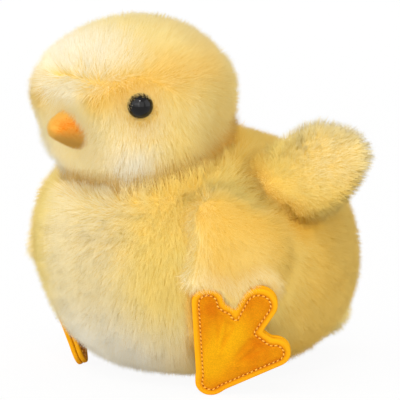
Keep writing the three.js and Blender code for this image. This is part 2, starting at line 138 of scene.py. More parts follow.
@dataclass(frozen=True)
class Spot:
    """A bell with its whole amount at one value."""

    centre: float
    width: float
    amount: float = 1.0

    def __call__(self, values: Array) -> Array:
        """How much there is at each value."""
        return self.amount * hump(values - self.centre, self.width)


@dataclass(frozen=True)
class Room:
    """How long pile may be beside something: a length where they touch, and more across a gap."""

    touching: float
    growth: float = 1.0
    least: float = 0.0

    def __call__(self, gaps: Array) -> Array:
        """The longest pile for each gap."""
        return np.maximum(self.touching + self.growth * gaps, self.least)


# Finishes


class Nodes:
    """A short way to build a node tree: add nodes, set their sockets and join them."""

    def __init__(self, tree: bpy.types.NodeTree) -> None:
        """Takes the tree to build in, emptied."""
        self.tree = tree
        self.tree.nodes.clear()

    def feed(self, socket: Socket, value: object) -> None:
        """Joins an input to another node's output, or sets it to a plain value.

        Args:
            socket: the input.
            value: an output socket or a value.
        """
        if isinstance(value, Socket):
            self.tree.links.new(value, socket)
        else:
            socket.default_value = value

    def add(self, kind: str, inputs: dict | None = None, **settings: object) -> bpy.types.Node:
        """Adds a node.

        Args:
            kind: the node's type name.
            inputs: values or output sockets by input name or index.
            settings: properties of the node itself.

        Returns:
            The new node.
        """
        node = self.tree.nodes.new(kind)
        for name, value in settings.items():
            setattr(node, name, value)
        for key, value in (inputs or {}).items():
            self.feed(node.inputs[key], value)
        return node

    def out(self, kind: str, inputs: dict | None = None, output: int | str = 0, **settings: object) -> Socket:
        """Adds a node and gives one of its outputs, the first unless it is named."""
        return self.add(kind, inputs, **settings).outputs[output]

    def attribute(self, name: str) -> Socket:
        """A shader's reading of a mesh attribute."""
        return self.out("ShaderNodeAttribute", output="Fac", attribute_name=name)

    def ramp(self, factor: Socket, stops: list[tuple[float, Colour]]) -> Socket:
        """A colour ramp.

        Args:
            factor: what it runs over.
            stops: its places and the colours shown there.

        Returns:
            The colour.
        """
        node = self.add("ShaderNodeValToRGB", {"Fac": factor})
        elements = node.color_ramp.elements
        while len(elements) < len(stops):
            elements.new(1.0)
        for element, (place, colour) in zip(elements, stops):
            element.position = place
            element.color = linear(colour)
        return node.outputs["Color"]

    def mix(self, factor: Socket | float, a: object, b: object, blend: str = "MIX") -> Socket:
        """Two colours mixed.

        Args:
            factor: the share of the second.
            a: the first, a socket or a shown colour.
            b: the second.
            blend: how they mix.

        Returns:
            The mixed colour.
        """
        node = self.add("ShaderNodeMix", data_type="RGBA", blend_type=blend)
        for index, value in ((0, factor), (6, a), (7, b)):
            self.feed(node.inputs[index], linear(value) if isinstance(value, tuple) else value)
        return node.outputs[2]

    def maths(self, operation: str, a: object, b: object, c: object = 0.0, clamp: bool = False) -> Socket:
        """One sum on two numbers or sockets, or on three."""
        return self.out("ShaderNodeMath", {0: a, 1: b, 2: c}, operation=operation, use_clamp=clamp)

    def vectors(self, operation: str, a: Socket, b: object = (0.0, 0.0, 0.0), scale: object = 1.0) -> Socket:
        """One sum on vectors; only SCALE takes the scale."""
        return self.out("ShaderNodeVectorMath", {0: a, 1: b, 3: scale}, operation=operation)

    def noise(self, grain: Pair, vector: Socket | None = None) -> Socket:
        """Noise of a scale and a detail, over Object coordinates or another vector."""
        at = vector or self.out("ShaderNodeTexCoord", output="Object")
        return self.out("ShaderNodeTexNoise", {"Vector": at, "Scale": grain[0], "Detail": grain[1]}, "Fac")

    def surface(self, colour: Socket, roughness: float, specular: float, bump: Socket | None = None) -> None:
        """The closing shader.

        Args:
            colour: its colour.
            roughness: from 0, a mirror, to 1.
            specular: how strongly it reflects.
            bump: a normal, or None.
        """
        inputs = {"Base Color": colour, "Roughness": roughness, "Specular IOR Level": specular}
        if bump is not None:
            inputs["Normal"] = bump
        shader = self.out("ShaderNodeBsdfPrincipled", inputs)
        self.add("ShaderNodeOutputMaterial", {"Surface": shader})

    def bump(self, height: Socket, relief: float, strength: float = 0.5) -> Socket:
        """A bumpy normal from a height."""
        return self.out("ShaderNodeBump", {"Strength": strength, "Distance": relief, "Height": height})

    def read(self, name: str, kind: str = "FLOAT") -> Socket:
        """A geometry tree's reading of a mesh attribute."""
        node = self.add("GeometryNodeInputNamedAttribute", {"Name": name}, data_type=kind)
        return next(o for o in node.outputs if o.enabled and o.name == "Attribute")

    def stored(
        self, geometry: Socket, name: str, value: Socket, kind: str = "FLOAT", domain: str = "POINT"
    ) -> Socket:
        """Keeps a value on geometry as an attribute.

        Args:
            geometry: the geometry.
            name: the attribute's name.
            value: its value.
            kind: its data type.
            domain: what carries it.

        Returns:
            The geometry that carries it.
        """
        inputs = {"Geometry": geometry, "Name": name}
        node = self.add("GeometryNodeStoreNamedAttribute", inputs, data_type=kind, domain=domain)
        self.feed(next(i for i in node.inputs if i.enabled and i.name == "Value"), value)
        return node.outputs[0]

    def chance(self, spread: Pair, seed: object) -> Socket:
        """A random number for each element, between two ends."""
        inputs = {2: spread[0], 3: spread[1], "Seed": seed}
        return self.out("FunctionNodeRandomValue", inputs, 1, data_type="FLOAT")

    def facing(self, out: Socket, along: Socket) -> Socket:
        """The turn that stands its Z on one direction and then points its X along another."""
        upright = self.out(ALIGN, {"Vector": out}, axis="Z")
        return self.out(ALIGN, {"Rotation": upright, "Vector": along}, axis="X", pivot_axis="Z")

    def tilted(self, turn: Socket, angles: dict) -> Socket:
        """A turn with small angles added about its own axes."""
        by = self.out("FunctionNodeEulerToRotation", {0: self.out("ShaderNodeCombineXYZ", angles)})
        return self.out("FunctionNodeRotateRotation", {0: turn, 1: by}, rotation_space="LOCAL")

    def joined(self, parts: list[Socket]) -> Socket:
        """Geometries joined into one.

        Args:
            parts: the geometries.

        Returns:
            The joined geometry.
        """
        node = self.add("GeometryNodeJoinGeometry")
        for part in parts:
            self.tree.links.new(part, node.inputs[0])
        return node.outputs[0]


def grower(name: str, sockets: dict[str, str], result: str) -> tuple[Nodes, bpy.types.NodeOutputs]:
    """Starts a Geometry Nodes tree with named inputs.

    Args:
        name: the tree's name.
        sockets: the kinds of its inputs by name.
        result: the name of its output.

    Returns:
        Its builder, and the sockets of its inputs.
    """
    tree = bpy.data.node_groups.new(name, "GeometryNodeTree")
    for label, kind in sockets.items():
        tree.interface.new_socket(label, in_out="INPUT", socket_type="NodeSocket" + kind)
    tree.interface.new_socket(result, in_out="OUTPUT", socket_type="NodeSocketGeometry")
    made = Nodes(tree)
    return made, made.add("NodeGroupInput").outputs


@dataclass(frozen=True)
class Finish:
    """A named finish, made once and shared by all its pieces."""

    name: str

    def nodes(self) -> tuple[bpy.types.Material, Nodes]:
        """Starts the material.

        Returns:
            A new material of this name, and its emptied tree.
        """
        material = bpy.data.materials.new(self.name)
        material.use_nodes = True
        return material, Nodes(material.node_tree)

    def build(self) -> bpy.types.Material:
        """Makes the material; each kind of finish has its own way."""
        raise NotImplementedError

    def material(self) -> bpy.types.Material:
        """The finish's material, built when first asked for."""
        return bpy.data.materials.get(self.name) or self.build()


@dataclass(frozen=True)
class PileFinish(Finish):
    """Pile fibres, coloured from root to tip, with golden places that are mostly painted shade and paler
    places that are partly painted light.
    """

    root: Colour
    middle: Colour
    tip: Colour
    gold_root: Colour
    gold_middle: Colour
    gold_tip: Colour
    pale: Colour
    specular: float = 0.1
    roughness: float = 0.85
    halfway: float = 0.45
    drift_grain: Pair = (70.0, 2.0)
    drift: float = 0.5
    deepest_tone: float = 0.93

    def build(self) -> bpy.types.Material:
        """Colours each fibre along its length, and differently from the next.

        Returns:
            The material.
        """
        material, nodes = self.nodes()
        along = nodes.attribute("tip")
        places = (0.0, self.halfway, 1.0)
        plain = nodes.ramp(along, list(zip(places, (self.root, self.middle, self.tip))))
        # golden colours along the fibre: mostly painted shade, for creases, under parts and the far side
        gold = nodes.ramp(along, list(zip(places, (self.gold_root, self.gold_middle, self.gold_tip))))
        drift = nodes.maths("MULTIPLY_ADD", nodes.noise(self.drift_grain), self.drift, -self.drift / 2)
        golden = nodes.maths("ADD", nodes.attribute("gold"), drift, clamp=True)
        colour = nodes.mix(golden, plain, gold)
        # paler tips: partly painted light, for the lit front and top
        paled = nodes.maths("MULTIPLY", nodes.attribute("pale"), along)
        colour = nodes.mix(paled, colour, self.pale)
        inputs = {"Value": nodes.attribute("tone"), "To Min": self.deepest_tone}
        tone = nodes.out("ShaderNodeMapRange", inputs, "Result")
        colour = nodes.mix(1.0, colour, tone, "MULTIPLY")
        nodes.surface(colour, self.roughness, self.specular)
        return material


@dataclass(frozen=True)
class KnitFinish(Finish):
    """A knit mottled between two colours, with a fine bump: the backing at the roots of the pile."""

    light: Colour
    dark: Colour
    mottle: Pair = (220.0, 4.0)
    places: Pair = (0.3, 0.7)
    yarn: Pair = (1800.0, 2.0)
    relief: float = 0.3 * MM
    strength: float = 0.5
    roughness: float = 0.95
    specular: float = 0.0

    def build(self) -> bpy.types.Material:
        """Mottles the colour and raises the yarn.

        Returns:
            The material.
        """
        material, nodes = self.nodes()
        stops = list(zip(self.places, (self.dark, self.light)))
        colour = nodes.ramp(nodes.noise(self.mottle), stops)
        bump = nodes.bump(nodes.noise(self.yarn), self.relief, self.strength)
        nodes.surface(colour, self.roughness, self.specular, bump)
        return material


@dataclass(frozen=True)
class ThreadFinish(KnitFinish):
    """Twisted sewing thread, with the same fine twist in its colour and its bump."""

    mottle: Pair = (2600.0, 3.0)
    places: Pair = (0.35, 0.65)
    yarn: Pair = (2600.0, 3.0)
    relief: float = 0.1 * MM
    strength: float = 0.6
    roughness: float = 0.7
    specular: float = 0.3


@dataclass(frozen=True)
class FeltFinish(Finish):
    """Wool felt: tangled fibres over a mottle, with a painted highlight, a paler edge and painted shade along
    the seam, each from an attribute.
    """

    light: Colour
    middle: Colour
    dark: Colour
    edge: Colour
    # painted highlight colour, for the lit middle of the puffed sole
    glow: Colour
    mottle: Pair = (120.0, 4.0)
    places: tuple[float, float, float] = (0.34, 0.5, 0.66)
    fibre: Pair = (3200.0, 2.0)
    stretch: tuple[float, float, float] = (1.0, 0.16, 1.0)
    turns: tuple[tuple[float, float, float], ...] = ((0.4, 0.2, 0.9), (1.3, 0.7, 2.2), (0.9, 2.0, 0.1))
    between_fibres: Colour = (0.90, 0.90, 0.90)
    fibre_places: Pair = (0.5, 0.72)
    relief: float = 0.2 * MM
    roughness: float = 0.95
    specular: float = 0.1

    def build(self) -> bpy.types.Material:
        """Lays fibres stretched three ways over a mottle, in the colour and the bump.

        Returns:
            The material.
        """
        material, nodes = self.nodes()
        at = nodes.out("ShaderNodeTexCoord", output="Object")
        streaks = []
        for turn in self.turns:
            mapped = nodes.out("ShaderNodeMapping", {"Vector": at, "Rotation": turn, "Scale": self.stretch})
            streaks.append(nodes.noise(self.fibre, mapped))
        tangle = nodes.maths("MAXIMUM", nodes.maths("MAXIMUM", streaks[0], streaks[1]), streaks[2])
        stops = list(zip(self.places, (self.dark, self.middle, self.light)))
        colour = nodes.ramp(nodes.noise(self.mottle, at), stops)
        # painted highlight on the puffed middle of the sole
        colour = nodes.mix(nodes.attribute("glow"), colour, self.glow)
        fibre = nodes.ramp(tangle, list(zip(self.fibre_places, (self.between_fibres, (1.0, 1.0, 1.0)))))
        colour = nodes.mix(1.0, colour, fibre, "MULTIPLY")
        colour = nodes.mix(nodes.attribute("edge"), colour, self.edge)
        colour = nodes.mix(nodes.attribute("shade"), colour, self.dark)
        nodes.surface(colour, self.roughness, self.specular, nodes.bump(tangle, self.relief))
        return material


@dataclass(frozen=True)
class MouldedFinish(Finish):
    """Moulded plastic, from matt washers to polished beads, with slight flow marks."""

    colour: Colour
    lighter: Colour
    roughness: float
    specular: float = 0.5
    flow: Pair = (400.0, 2.0)
    places: Pair = (0.3, 0.7)

    def build(self) -> bpy.types.Material:
        """Runs the flow marks between the two colours.

        Returns:
            The material.
        """
        material, nodes = self.nodes()
        colour = nodes.ramp(nodes.noise(self.flow), list(zip(self.places, (self.colour, self.lighter))))
        nodes.surface(colour, self.roughness, self.specular)
        return material


# In each pile the golden colours are mostly painted shade, and the paler colour is partly painted light.
CREAM_PILE = PileFinish(
    "cream_pile",
    root=(0.97, 0.82, 0.38), middle=(0.985, 0.86, 0.46), tip=(1.0, 0.905, 0.58),
    gold_root=(0.91, 0.65, 0.16), gold_middle=(0.95, 0.73, 0.25), gold_tip=(0.97, 0.79, 0.36),
    pale=(1.0, 0.975, 0.90),
)
BEAK_PILE = PileFinish(
    "beak_pile",
    root=(0.94, 0.65, 0.0), middle=(0.95, 0.71, 0.0), tip=(0.96, 0.75, 0.0),
    gold_root=(0.88, 0.38, 0.0), gold_middle=(0.90, 0.43, 0.0), gold_tip=(0.92, 0.50, 0.0),
    pale=(0.97, 0.79, 0.0), specular=0.0,
)
BACKING = KnitFinish("pile_backing", light=(0.99, 0.87, 0.50), dark=(0.96, 0.81, 0.41))
BEAK_BACKING = KnitFinish("beak_backing", light=(0.94, 0.56, 0.0), dark=(0.90, 0.46, 0.0))
GATHERS = KnitFinish("gathered_wadding", light=(0.96, 0.84, 0.52), dark=(0.92, 0.76, 0.42))
# Felt colours: the lightest yellow is painted light on the puffed middle of the sole.
FELT = FeltFinish(
    "orange_felt",
    light=(0.90, 0.59, 0.03), middle=(0.87, 0.54, 0.02), dark=(0.83, 0.46, 0.01),
    edge=(0.93, 0.66, 0.07), glow=(0.92, 0.66, 0.04),
)
STUB_FELT = FeltFinish(
    "ankle_felt",
    light=(0.94, 0.52, 0.10), middle=(0.88, 0.40, 0.06), dark=(0.74, 0.26, 0.03),
    edge=(0.95, 0.58, 0.14), glow=(0.95, 0.58, 0.14),
)
THREAD = ThreadFinish("orange_thread", light=(1.0, 0.80, 0.36), dark=(0.94, 0.64, 0.16))
# Dark grains that stand for the shade inside the needle holes: painted shade.
HOLE_SHADE = ThreadFinish("stitch_hole", light=(0.66, 0.33, 0.03), dark=(0.52, 0.23, 0.02))
BEAD = MouldedFinish(
    "black_bead",
    colour=(0.02, 0.015, 0.015), lighter=(0.033, 0.02725, 0.02725), roughness=0.05, specular=0.25,
)
WASHER = MouldedFinish(
    "washer_plastic", colour=(0.86, 0.85, 0.82), lighter=(0.999, 0.9875, 0.953), roughness=0.5
)


# Skins: closed forms that the pile grows from


def link(name: str, data: bpy.types.ID) -> bpy.types.Object:
    """Puts a mesh, camera or lamp in the scene.

    Args:
        name: the object's name.
        data: what it shows.

    Returns:
        The object, at the origin.
    """
    made = bpy.data.objects.new(name, data)
    bpy.context.scene.collection.objects.link(made)
    return made


def mesh_of(name: str, points: Array, faces: Array | list) -> bpy.types.Mesh:
    """A smooth mesh with its normals recalculated to the outside.

    Args:
        name: its name.
        points: its points.
        faces: the points of each of its faces.

    Returns:
        The mesh.
    """
    mesh = bpy.data.meshes.new(name)
    mesh.from_pydata(points.tolist(), [], [list(map(int, f)) for f in faces])
    made = bmesh.new()
    made.from_mesh(mesh)
    bmesh.ops.recalc_face_normals(made, faces=made.faces[:])
    made.to_mesh(mesh)
    made.free()
    mesh.shade_smooth()
    return mesh


def write_attribute(mesh: bpy.types.Mesh, name: str, values: Array) -> None:
    """Stores an attribute on the points of a mesh.

    Args:
        mesh: the mesh.
        name: the attribute's name.
        values: one number or one vector for each point.
    """
    vector = values.ndim == 2
    kept = mesh.attributes.new(name, "FLOAT_VECTOR" if vector else "FLOAT", "POINT")
    kept.data.foreach_set("vector" if vector else "value", values.astype(np.float32).ravel())


def corners(node: str) -> tuple[Array, Array]:
    """A CAD node's lowest and highest corners."""
    low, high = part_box(node)
    return np.array(low), np.array(high)


def middle(node: str) -> Array:
    """The middle of a CAD node's box."""
    low, high = corners(node)
    return (low + high) / 2


def joint(name: str) -> dict:
    """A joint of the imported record, by name."""
    return next(j for j in frame["joints"] if j["name"] == name)


def pivot(name: str) -> Array:
    """The place of a joint."""
    return np.array(joint(name)["pos_m"])


def tree_of(nodes: list[str]) -> BVHTree:
    """A search tree over the faces of CAD nodes.

    Args:
        nodes: the nodes' names.

    Returns:
        The tree.
    """
    points: list[Vector] = []
    faces: list[list[int]] = []
    for name in nodes:
        mesh = frame["nodes"][name].data
        first = len(points)
        points += [v.co.copy() for v in mesh.vertices]
        faces += [[first + i for i in p.vertices] for p in mesh.polygons]
    return BVHTree.FromPolygons(points, faces)


def gaps_to(tree: BVHTree, points: Array) -> Array:
    """Distance from each point to the nearest face of a tree, and FAR past that."""
    found = [tree.find_nearest(Vector(p), FAR)[3] for p in points]
    return np.array([FAR if d is None else d for d in found])


class Skin:
    """A closed form found by looking from all sides towards a centre, so it is as full as its nodes."""

    look_from: float = 300 * MM
    seam: float = 1.2 * MM

    def __init__(self, nodes: list[str], centre: Array, level: int, soften: int = 4, calm: int = 12) -> None:
        """Wraps CAD nodes.

        Args:
            nodes: CAD nodes whose outer faces are followed.
            centre: a point that the form can be seen from.
            level: how finely the form is divided.
            soften: rounds of smoothing.
            calm: more rounds for the normals that the pile grows along.
        """
        self.calm = calm
        self.face: Array | None = None
        globe = bmesh.new()
        bmesh.ops.create_icosphere(globe, subdivisions=level, radius=1.0)
        ways = unit(np.array([v.co[:] for v in globe.verts]))
        self.faces = np.array([[v.index for v in f.verts] for f in globe.faces])
        edges = np.array([[v.index for v in e.verts] for e in globe.edges])
        globe.free()
        self.near = self.neighbours(edges, len(ways))
        tree = tree_of(nodes)
        reached = np.zeros(len(ways))
        for i, way in enumerate(ways):
            hit = tree.ray_cast(Vector(centre + way * self.look_from), Vector(-way))
            reached[i] = self.look_from - hit[3] if hit[3] is not None else 0.0
        self.points = centre + ways * self.filled(reached)[:, None]
        self.softened(soften)

    @staticmethod
    def neighbours(edges: Array, count: int) -> Array:
        """The six neighbours of each point; a point with five stands in for its own sixth.

        Args:
            edges: the pairs of points that are joined.
            count: how many points there are.

        Returns:
            Six numbers of points for each point.
        """
        both = np.vstack((edges, edges[:, ::-1]))
        both = both[np.argsort(both[:, 0], kind="stable")]
        first = np.searchsorted(both[:, 0], np.arange(count))
        near = np.tile(np.arange(count)[:, None], (1, 6))
        near[both[:, 0], np.arange(len(both)) - first[both[:, 0]]] = both[:, 1]
        return near

    def filled(self, reached: Array) -> Array:
        """Reaches with the narrow seams between panels filled from their neighbours."""
        best = reached[self.near].max(axis=1)
        return np.where(best - reached > self.seam, best, reached)

    def around(self, values: Array) -> Array:
        """The mean of each point's neighbours."""
        return values[self.near].mean(axis=1)

    def middles(self) -> Array:
        """The middles of the faces."""
        return self.points[self.faces].mean(axis=1)

    def normals(self) -> Array:
        """Outward normals at the points, from the faces round each.

        Returns:
            The normals.
        """
        a, b, c = (self.points[self.faces[:, i]] for i in range(3))
        crossed = np.cross(b - a, c - a)
        total = np.zeros_like(self.points)
        for i in range(3):
            np.add.at(total, self.faces[:, i], crossed)
        return unit(total)

    def softened(self, rounds: int) -> None:
        """Smooths the skin all over, by a number of rounds."""
        for _ in range(rounds):
            self.points = 0.5 * self.points + 0.5 * self.around(self.points)

    def calm_normals(self) -> Array:
        """Normals of the skin's broad form, without its small dips.

        Returns:
            The normals.
        """
        kept = self.points
        self.softened(self.calm)
        calm, self.points = self.normals(), kept
        return calm

    def smoothed_over(self, chosen: Array, rounds: int) -> None:
        """Draws the skin smoothly across some points, as over a socket.

        Args:
            chosen: which points move.
            rounds: how often they move to the mean of their neighbours.
        """
        near = self.near[chosen]
        for _ in range(rounds):
            self.points[chosen] = self.points[near].mean(axis=1)

    def filled_out(self, rounds: int) -> None:
        """Raises the hollows towards the mean of their surroundings, and leaves the rest.

        Args:
            rounds: how often they are raised.
        """
        for _ in range(rounds):
            normals = self.normals()
            lift = ((self.around(self.points) - self.points) * normals).sum(axis=1)
            self.points = self.points + normals * np.maximum(lift, 0.0)[:, None]

    def sunk(self, depths: Array, rounds: int = 8) -> None:
        """Draws the skin in along its normals.

        Args:
            depths: how far each point goes in.
            rounds: how often the depths are softened first.
        """
        self.face = self.calm_normals() if self.face is None else self.face
        for _ in range(rounds):
            depths = 0.5 * depths + 0.5 * self.around(depths)
        self.points = self.points - self.normals() * depths[:, None]


@dataclass
class Coat:
    """How the pile lies on a skin: one value for each of its points."""

    length: Array
    comb: Array
    # golden tint, real in part and mostly painted shade; paler tint, real in part and partly painted light
    gold: Array
    pale: Array
    cover: Array
    lie: Array

    @classmethod
    def even(cls, normals: Array, length: float, way: Array) -> "Coat":
        """An even coat over a skin's normals, combed one way, with no golden tint or painted shade and no
        paler tint or painted light.
        """
        none = np.zeros(len(normals))
        return cls(none + length, across(way, normals), none.copy(), none.copy(), none + 1.0, none.copy())


# Pile: how fibres differ, in radians of tilt and shares of their length


NOD = (-0.22, 0.20)
SWAY = (-0.20, 0.20)
TWIST = (-0.30, 0.30)
LENGTHS = (0.80, 1.06)
TUFTED = (0.91, 1.08)
TUFTS_BETWEEN = (0.25, 0.75)
CLUMP_DETAIL = 1.5
STRAY = 4.0
SHADING_STRAY = 0.22


class Fibre(Enum):
    """How far a fibre leans over the skin, as a share of its rise."""

    LYING = 0.66
    CROSSING = 0.46
    STANDING = 0.28
    STRAYING = 0.06


@dataclass(frozen=True)
class Pile:
    """Grows fibres over a skin with a node tree: scatter, comb, tilt and realise."""

    finish: Finish
    per_mm2: float
    slimness: float = 0.021
    disorder: float = 0.36
    clump: float = 330.0

    def tree(self) -> bpy.types.NodeTree:
        """The node tree that scatters leaning fibres over a mesh; its sizes are named inputs.

        Returns:
            The tree, made when first asked for.
        """
        tree = bpy.data.node_groups.get("pile")
        if tree:
            return tree
        kinds = {"Skin": "Geometry", "Density": "Float", "Slimness": "Float", "Disorder": "Float"}
        kinds |= {"Clump": "Float", "Seed": "Int", "Material": "Material"}
        made, given = grower("pile", kinds, "Pile")

        def chance(spread: Pair, shift: int) -> Socket:
            """A random number for each fibre, by its own shift of the seed."""
            return made.chance(spread, made.maths("ADD", given["Seed"], float(shift)))

        spread = made.out(
            "GeometryNodeDistributePointsOnFaces",
            {
                "Mesh": given["Skin"],
                "Density": made.maths("MULTIPLY", given["Density"], made.read("cover")),
                "Seed": given["Seed"],
            },
            distribute_method="RANDOM",
        )
        place = made.out("GeometryNodeInputPosition")
        inputs = {"Vector": place, "Scale": given["Clump"], "Detail": CLUMP_DETAIL}
        noise = made.add("ShaderNodeTexNoise", inputs)
        stray = made.vectors("SUBTRACT", noise.outputs["Color"], (0.5, 0.5, 0.5))
        stray = made.vectors("SCALE", stray, scale=made.maths("MULTIPLY", given["Disorder"], STRAY))
        combed = made.vectors("ADD", made.read("comb", "FLOAT_VECTOR"), stray)
        face = made.read("face", "FLOAT_VECTOR")
        nod = made.maths("ADD", made.read("lie"), chance(NOD, 4))
        angles = {"X": chance(SWAY, 3), "Y": nod, "Z": chance(TWIST, 5)}
        stance = made.tilted(made.facing(face, combed), angles)
        lengths = made.maths("MULTIPLY", made.read("pile"), chance(LENGTHS, 6))
        inputs = {"Value": noise.outputs["Fac"], "From Min": TUFTS_BETWEEN[0], "From Max": TUFTS_BETWEEN[1]}
        inputs |= {"To Min": TUFTED[0], "To Max": TUFTED[1]}
        sized = made.maths("MULTIPLY", lengths, made.out("ShaderNodeMapRange", inputs, "Result"))
        lay = made.vectors("ADD", face, made.vectors("SCALE", stray, scale=SHADING_STRAY))
        laid = made.stored(spread, "lay", made.vectors("NORMALIZE", lay), "FLOAT_VECTOR")
        fibres = [self.fibre(made, kind, given["Slimness"]) for kind in Fibre]
        inputs = {"Points": laid, "Instance": made.joined(fibres[::-1]), "Pick Instance": True}
        grown = made.out("GeometryNodeInstanceOnPoints", inputs | {"Rotation": stance, "Scale": sized})
        toned = made.stored(grown, "tone", chance((0.0, 1.0), 7), domain="INSTANCE")
        real = made.out("GeometryNodeRealizeInstances", {"Geometry": toned})
        smooth = made.out("GeometryNodeSetShadeSmooth", {"Geometry": real, "Shade Smooth": True})
        inputs = {"Mesh": smooth, "Custom Normal": made.read("lay", "FLOAT_VECTOR")}
        facing = made.out("GeometryNodeSetMeshNormal", inputs, mode="FREE", domain="POINT")
        finished = made.out("GeometryNodeSetMaterial", {"Geometry": facing, "Material": given["Material"]})
        made.add("NodeGroupOutput", {0: finished})
        return made.tree

    @staticmethod
    def fibre(made: Nodes, kind: Fibre, slimness: Socket) -> Socket:
        """One fibre of unit length as an instance: three sides up to a point, and a closed root.

        Args:
            made: the tree's builder.
            kind: how it leans.
            slimness: its radius at the root, as a share of its length.

        Returns:
            The socket that holds the instance.
        """
        inputs = {"Vertices": 3, "Side Segments": 1, "Radius Top": 0.0, "Radius Bottom": slimness}
        cone = made.out("GeometryNodeMeshCone", inputs | {"Depth": 1.0}, fill_type="NGON")
        height = made.out("ShaderNodeSeparateXYZ", {0: made.out("GeometryNodeInputPosition")}, "Z")
        offset = made.out("ShaderNodeCombineXYZ", {"X": made.maths("MULTIPLY", height, kind.value)})
        inputs = {"Geometry": made.stored(cone, "tip", height), "Offset": offset}
        return made.out("GeometryNodeGeometryToInstance", {0: made.out("GeometryNodeSetPosition", inputs)})

    def grow(self, name: str, skin: Skin, coat: Coat, chosen: Array | slice, seed: int) -> bpy.types.Object:
        """Grows the pile of one panel.

        Args:
            name: the piece's name.
            skin: the skin that it grows from.
            coat: how it lies at each of the skin's points.
            chosen: which of the skin's faces belong to the panel.
            seed: the scatter's seed.

        Returns:
            The panel's pile as a plain mesh object.
        """
        faces = skin.faces[chosen]
        used, packed = np.unique(faces, return_inverse=True)
        mesh = bpy.data.meshes.new(name)
        mesh.from_pydata(skin.points[used].tolist(), [], packed.reshape(faces.shape).tolist())
        mesh.shade_smooth()
        values = {"pile": coat.length, "comb": coat.comb, "gold": coat.gold, "pale": coat.pale}
        values |= {"cover": coat.cover, "lie": coat.lie, "face": skin.face}
        for label, column in values.items():
            write_attribute(mesh, label, column[used])
        sockets = {
            "Density": self.per_mm2 / MM**2, "Slimness": self.slimness, "Disorder": self.disorder,
            "Clump": self.clump, "Seed": SEED + seed, "Material": self.finish.material(),
        }
        grown = grown_mesh(link(name + "_ground", mesh), self.tree(), sockets)
        keep = {"tip", "tone", "gold", "pale", "position", "material_index", "sharp_face", "custom_normal"}
        for label in [a.name for a in grown.attributes]:
            if label not in keep and not label.startswith("."):
                grown.attributes.remove(grown.attributes[label])
        grown.name = name
        pile = link(name, grown)
        pile.visible_shadow = False  # lamp light reaches the roots, as it does through real fibres
        return pile

    def dress(self, skin: Skin, coat: Coat, panels: list[Panel], body: str, slot: str = "fur_pile") -> None:
        """Grows the pile of a skin's panels, each given by its name, its faces and its seed."""
        for name, chosen, seed in panels:
            worn(self.grow(name, skin, coat, chosen, seed), body)


def grown_mesh(ground: bpy.types.Object, tree: bpy.types.NodeTree, sockets: dict) -> bpy.types.Mesh:
    """Runs a node tree on an object and takes its result as a plain mesh; the object goes.

    Args:
        ground: the object that the tree works on.
        tree: the node tree.
        sockets: its input values by name.

    Returns:
        The tree's result.
    """
    modifier = ground.modifiers.new("grow", "NODES")
    modifier.node_group = tree
    for item in tree.interface.items_tree:
        if item.item_type == "SOCKET" and item.in_out == "INPUT" and item.name in sockets:
            modifier[item.identifier] = sockets[item.name]
    graph = bpy.context.evaluated_depsgraph_get()
    mesh = bpy.data.meshes.new_from_object(
        ground.evaluated_get(graph), preserve_all_data_layers=True, depsgraph=graph
    )
    cleared(ground)
    return mesh


def cleared(piece: bpy.types.Object) -> None:
    """Takes a trial object away with its mesh.

    Args:
        piece: the object.
    """
    old = piece.data
    bpy.data.objects.remove(piece)
    bpy.data.meshes.remove(old)


def backing(
    name: str, skin: Skin, finish: Finish, body: str, nodes: list[str], shades: bool = True
) -> None:
    """Makes a skin a padded piece that stands for its CAD nodes.

    Args:
        name: the piece's name.
        skin: its form.
        finish: its finish.
        body: the CAD body it rides on.
        nodes: the CAD nodes it stands for.
        shades: whether it keeps lamp light off what is behind it.
    """
    piece = link(name, mesh_of(name, skin.points, skin.faces))
    piece.visible_shadow = shades
    piece.data.materials.append(finish.material())
    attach(piece, body)
    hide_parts(*nodes)
    LOG.info("%s: %d faces, for %s", name, len(piece.data.polygons), ", ".join(nodes))


def worn(piece: bpy.types.Object, body: str) -> None:
    """Lets a finished piece ride on its body.

    Args:
        piece: the piece.
        body: the CAD body.
    """
    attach(piece, body)
    LOG.info("%s: %d faces on %s", piece.name, len(piece.data.polygons), body)


# Sub-assemblies


@dataclass
class Eyes:
    """Two polished beads sunk in the pile of the face."""

    radius: float = 4.0 * MM
    azimuth: float = 50.0
    proud: float = 0.2 * MM
    behind: float = 8 * MM
    meridians: int = 48
    rings: int = 32

    def axis(self, side: Side) -> Array:
        """The way that one eye looks."""
        return outwards(self.azimuth * side.value)

    def centre(self, side: Side) -> Array:
        """The centre of one bead.

        Args:
            side: which eye.

        Returns:
            The place, pressed a little out of that of its CAD node.
        """
        low, high = corners(f"eye_{side.word}")
        x = high[0] - self.radius if side is Side.LEFT else low[0] + self.radius
        return np.array((x, low[1] + self.radius, (low[2] + high[2]) / 2)) + self.axis(side) * self.proud

    def to_axis(self, points: Array) -> Array:
        """From points to the axis of the eye on their side, square to the axis."""
        left, right = (across(self.centre(side) - points, self.axis(side)) for side in Side)
        return np.where(points[:, :1] > 0, left, right)

    def from_axis(self, points: Array) -> Array:
        """Distance of points from the axis of the nearer eye, and a metre behind the eyes."""
        ahead = points @ FORWARD > -corners("eye_left")[1][1] - self.behind
        return np.where(ahead, np.linalg.norm(self.to_axis(points), axis=1), 1.0)

    def build(self) -> None:
        """Makes both beads; the washers behind them keep their CAD form."""
        for side in Side:
            name = f"eye_{side.word}"
            made = bmesh.new()
            bmesh.ops.create_uvsphere(
                made, u_segments=self.meridians, v_segments=self.rings, radius=self.radius
            )
            bmesh.ops.translate(made, verts=made.verts[:], vec=Vector(self.centre(side)))
            mesh = bpy.data.meshes.new(name + "_bead")
            made.to_mesh(mesh)
            made.free()
            mesh.shade_smooth()
            mesh.materials.append(BEAD.material())
            bead = link(name + "_bead", mesh)
            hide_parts(name)
            worn(bead, "head")
            washer = frame["nodes"][name + "_washer"]
            washer.data.materials.clear()
            washer.data.materials.append(WASHER.material())


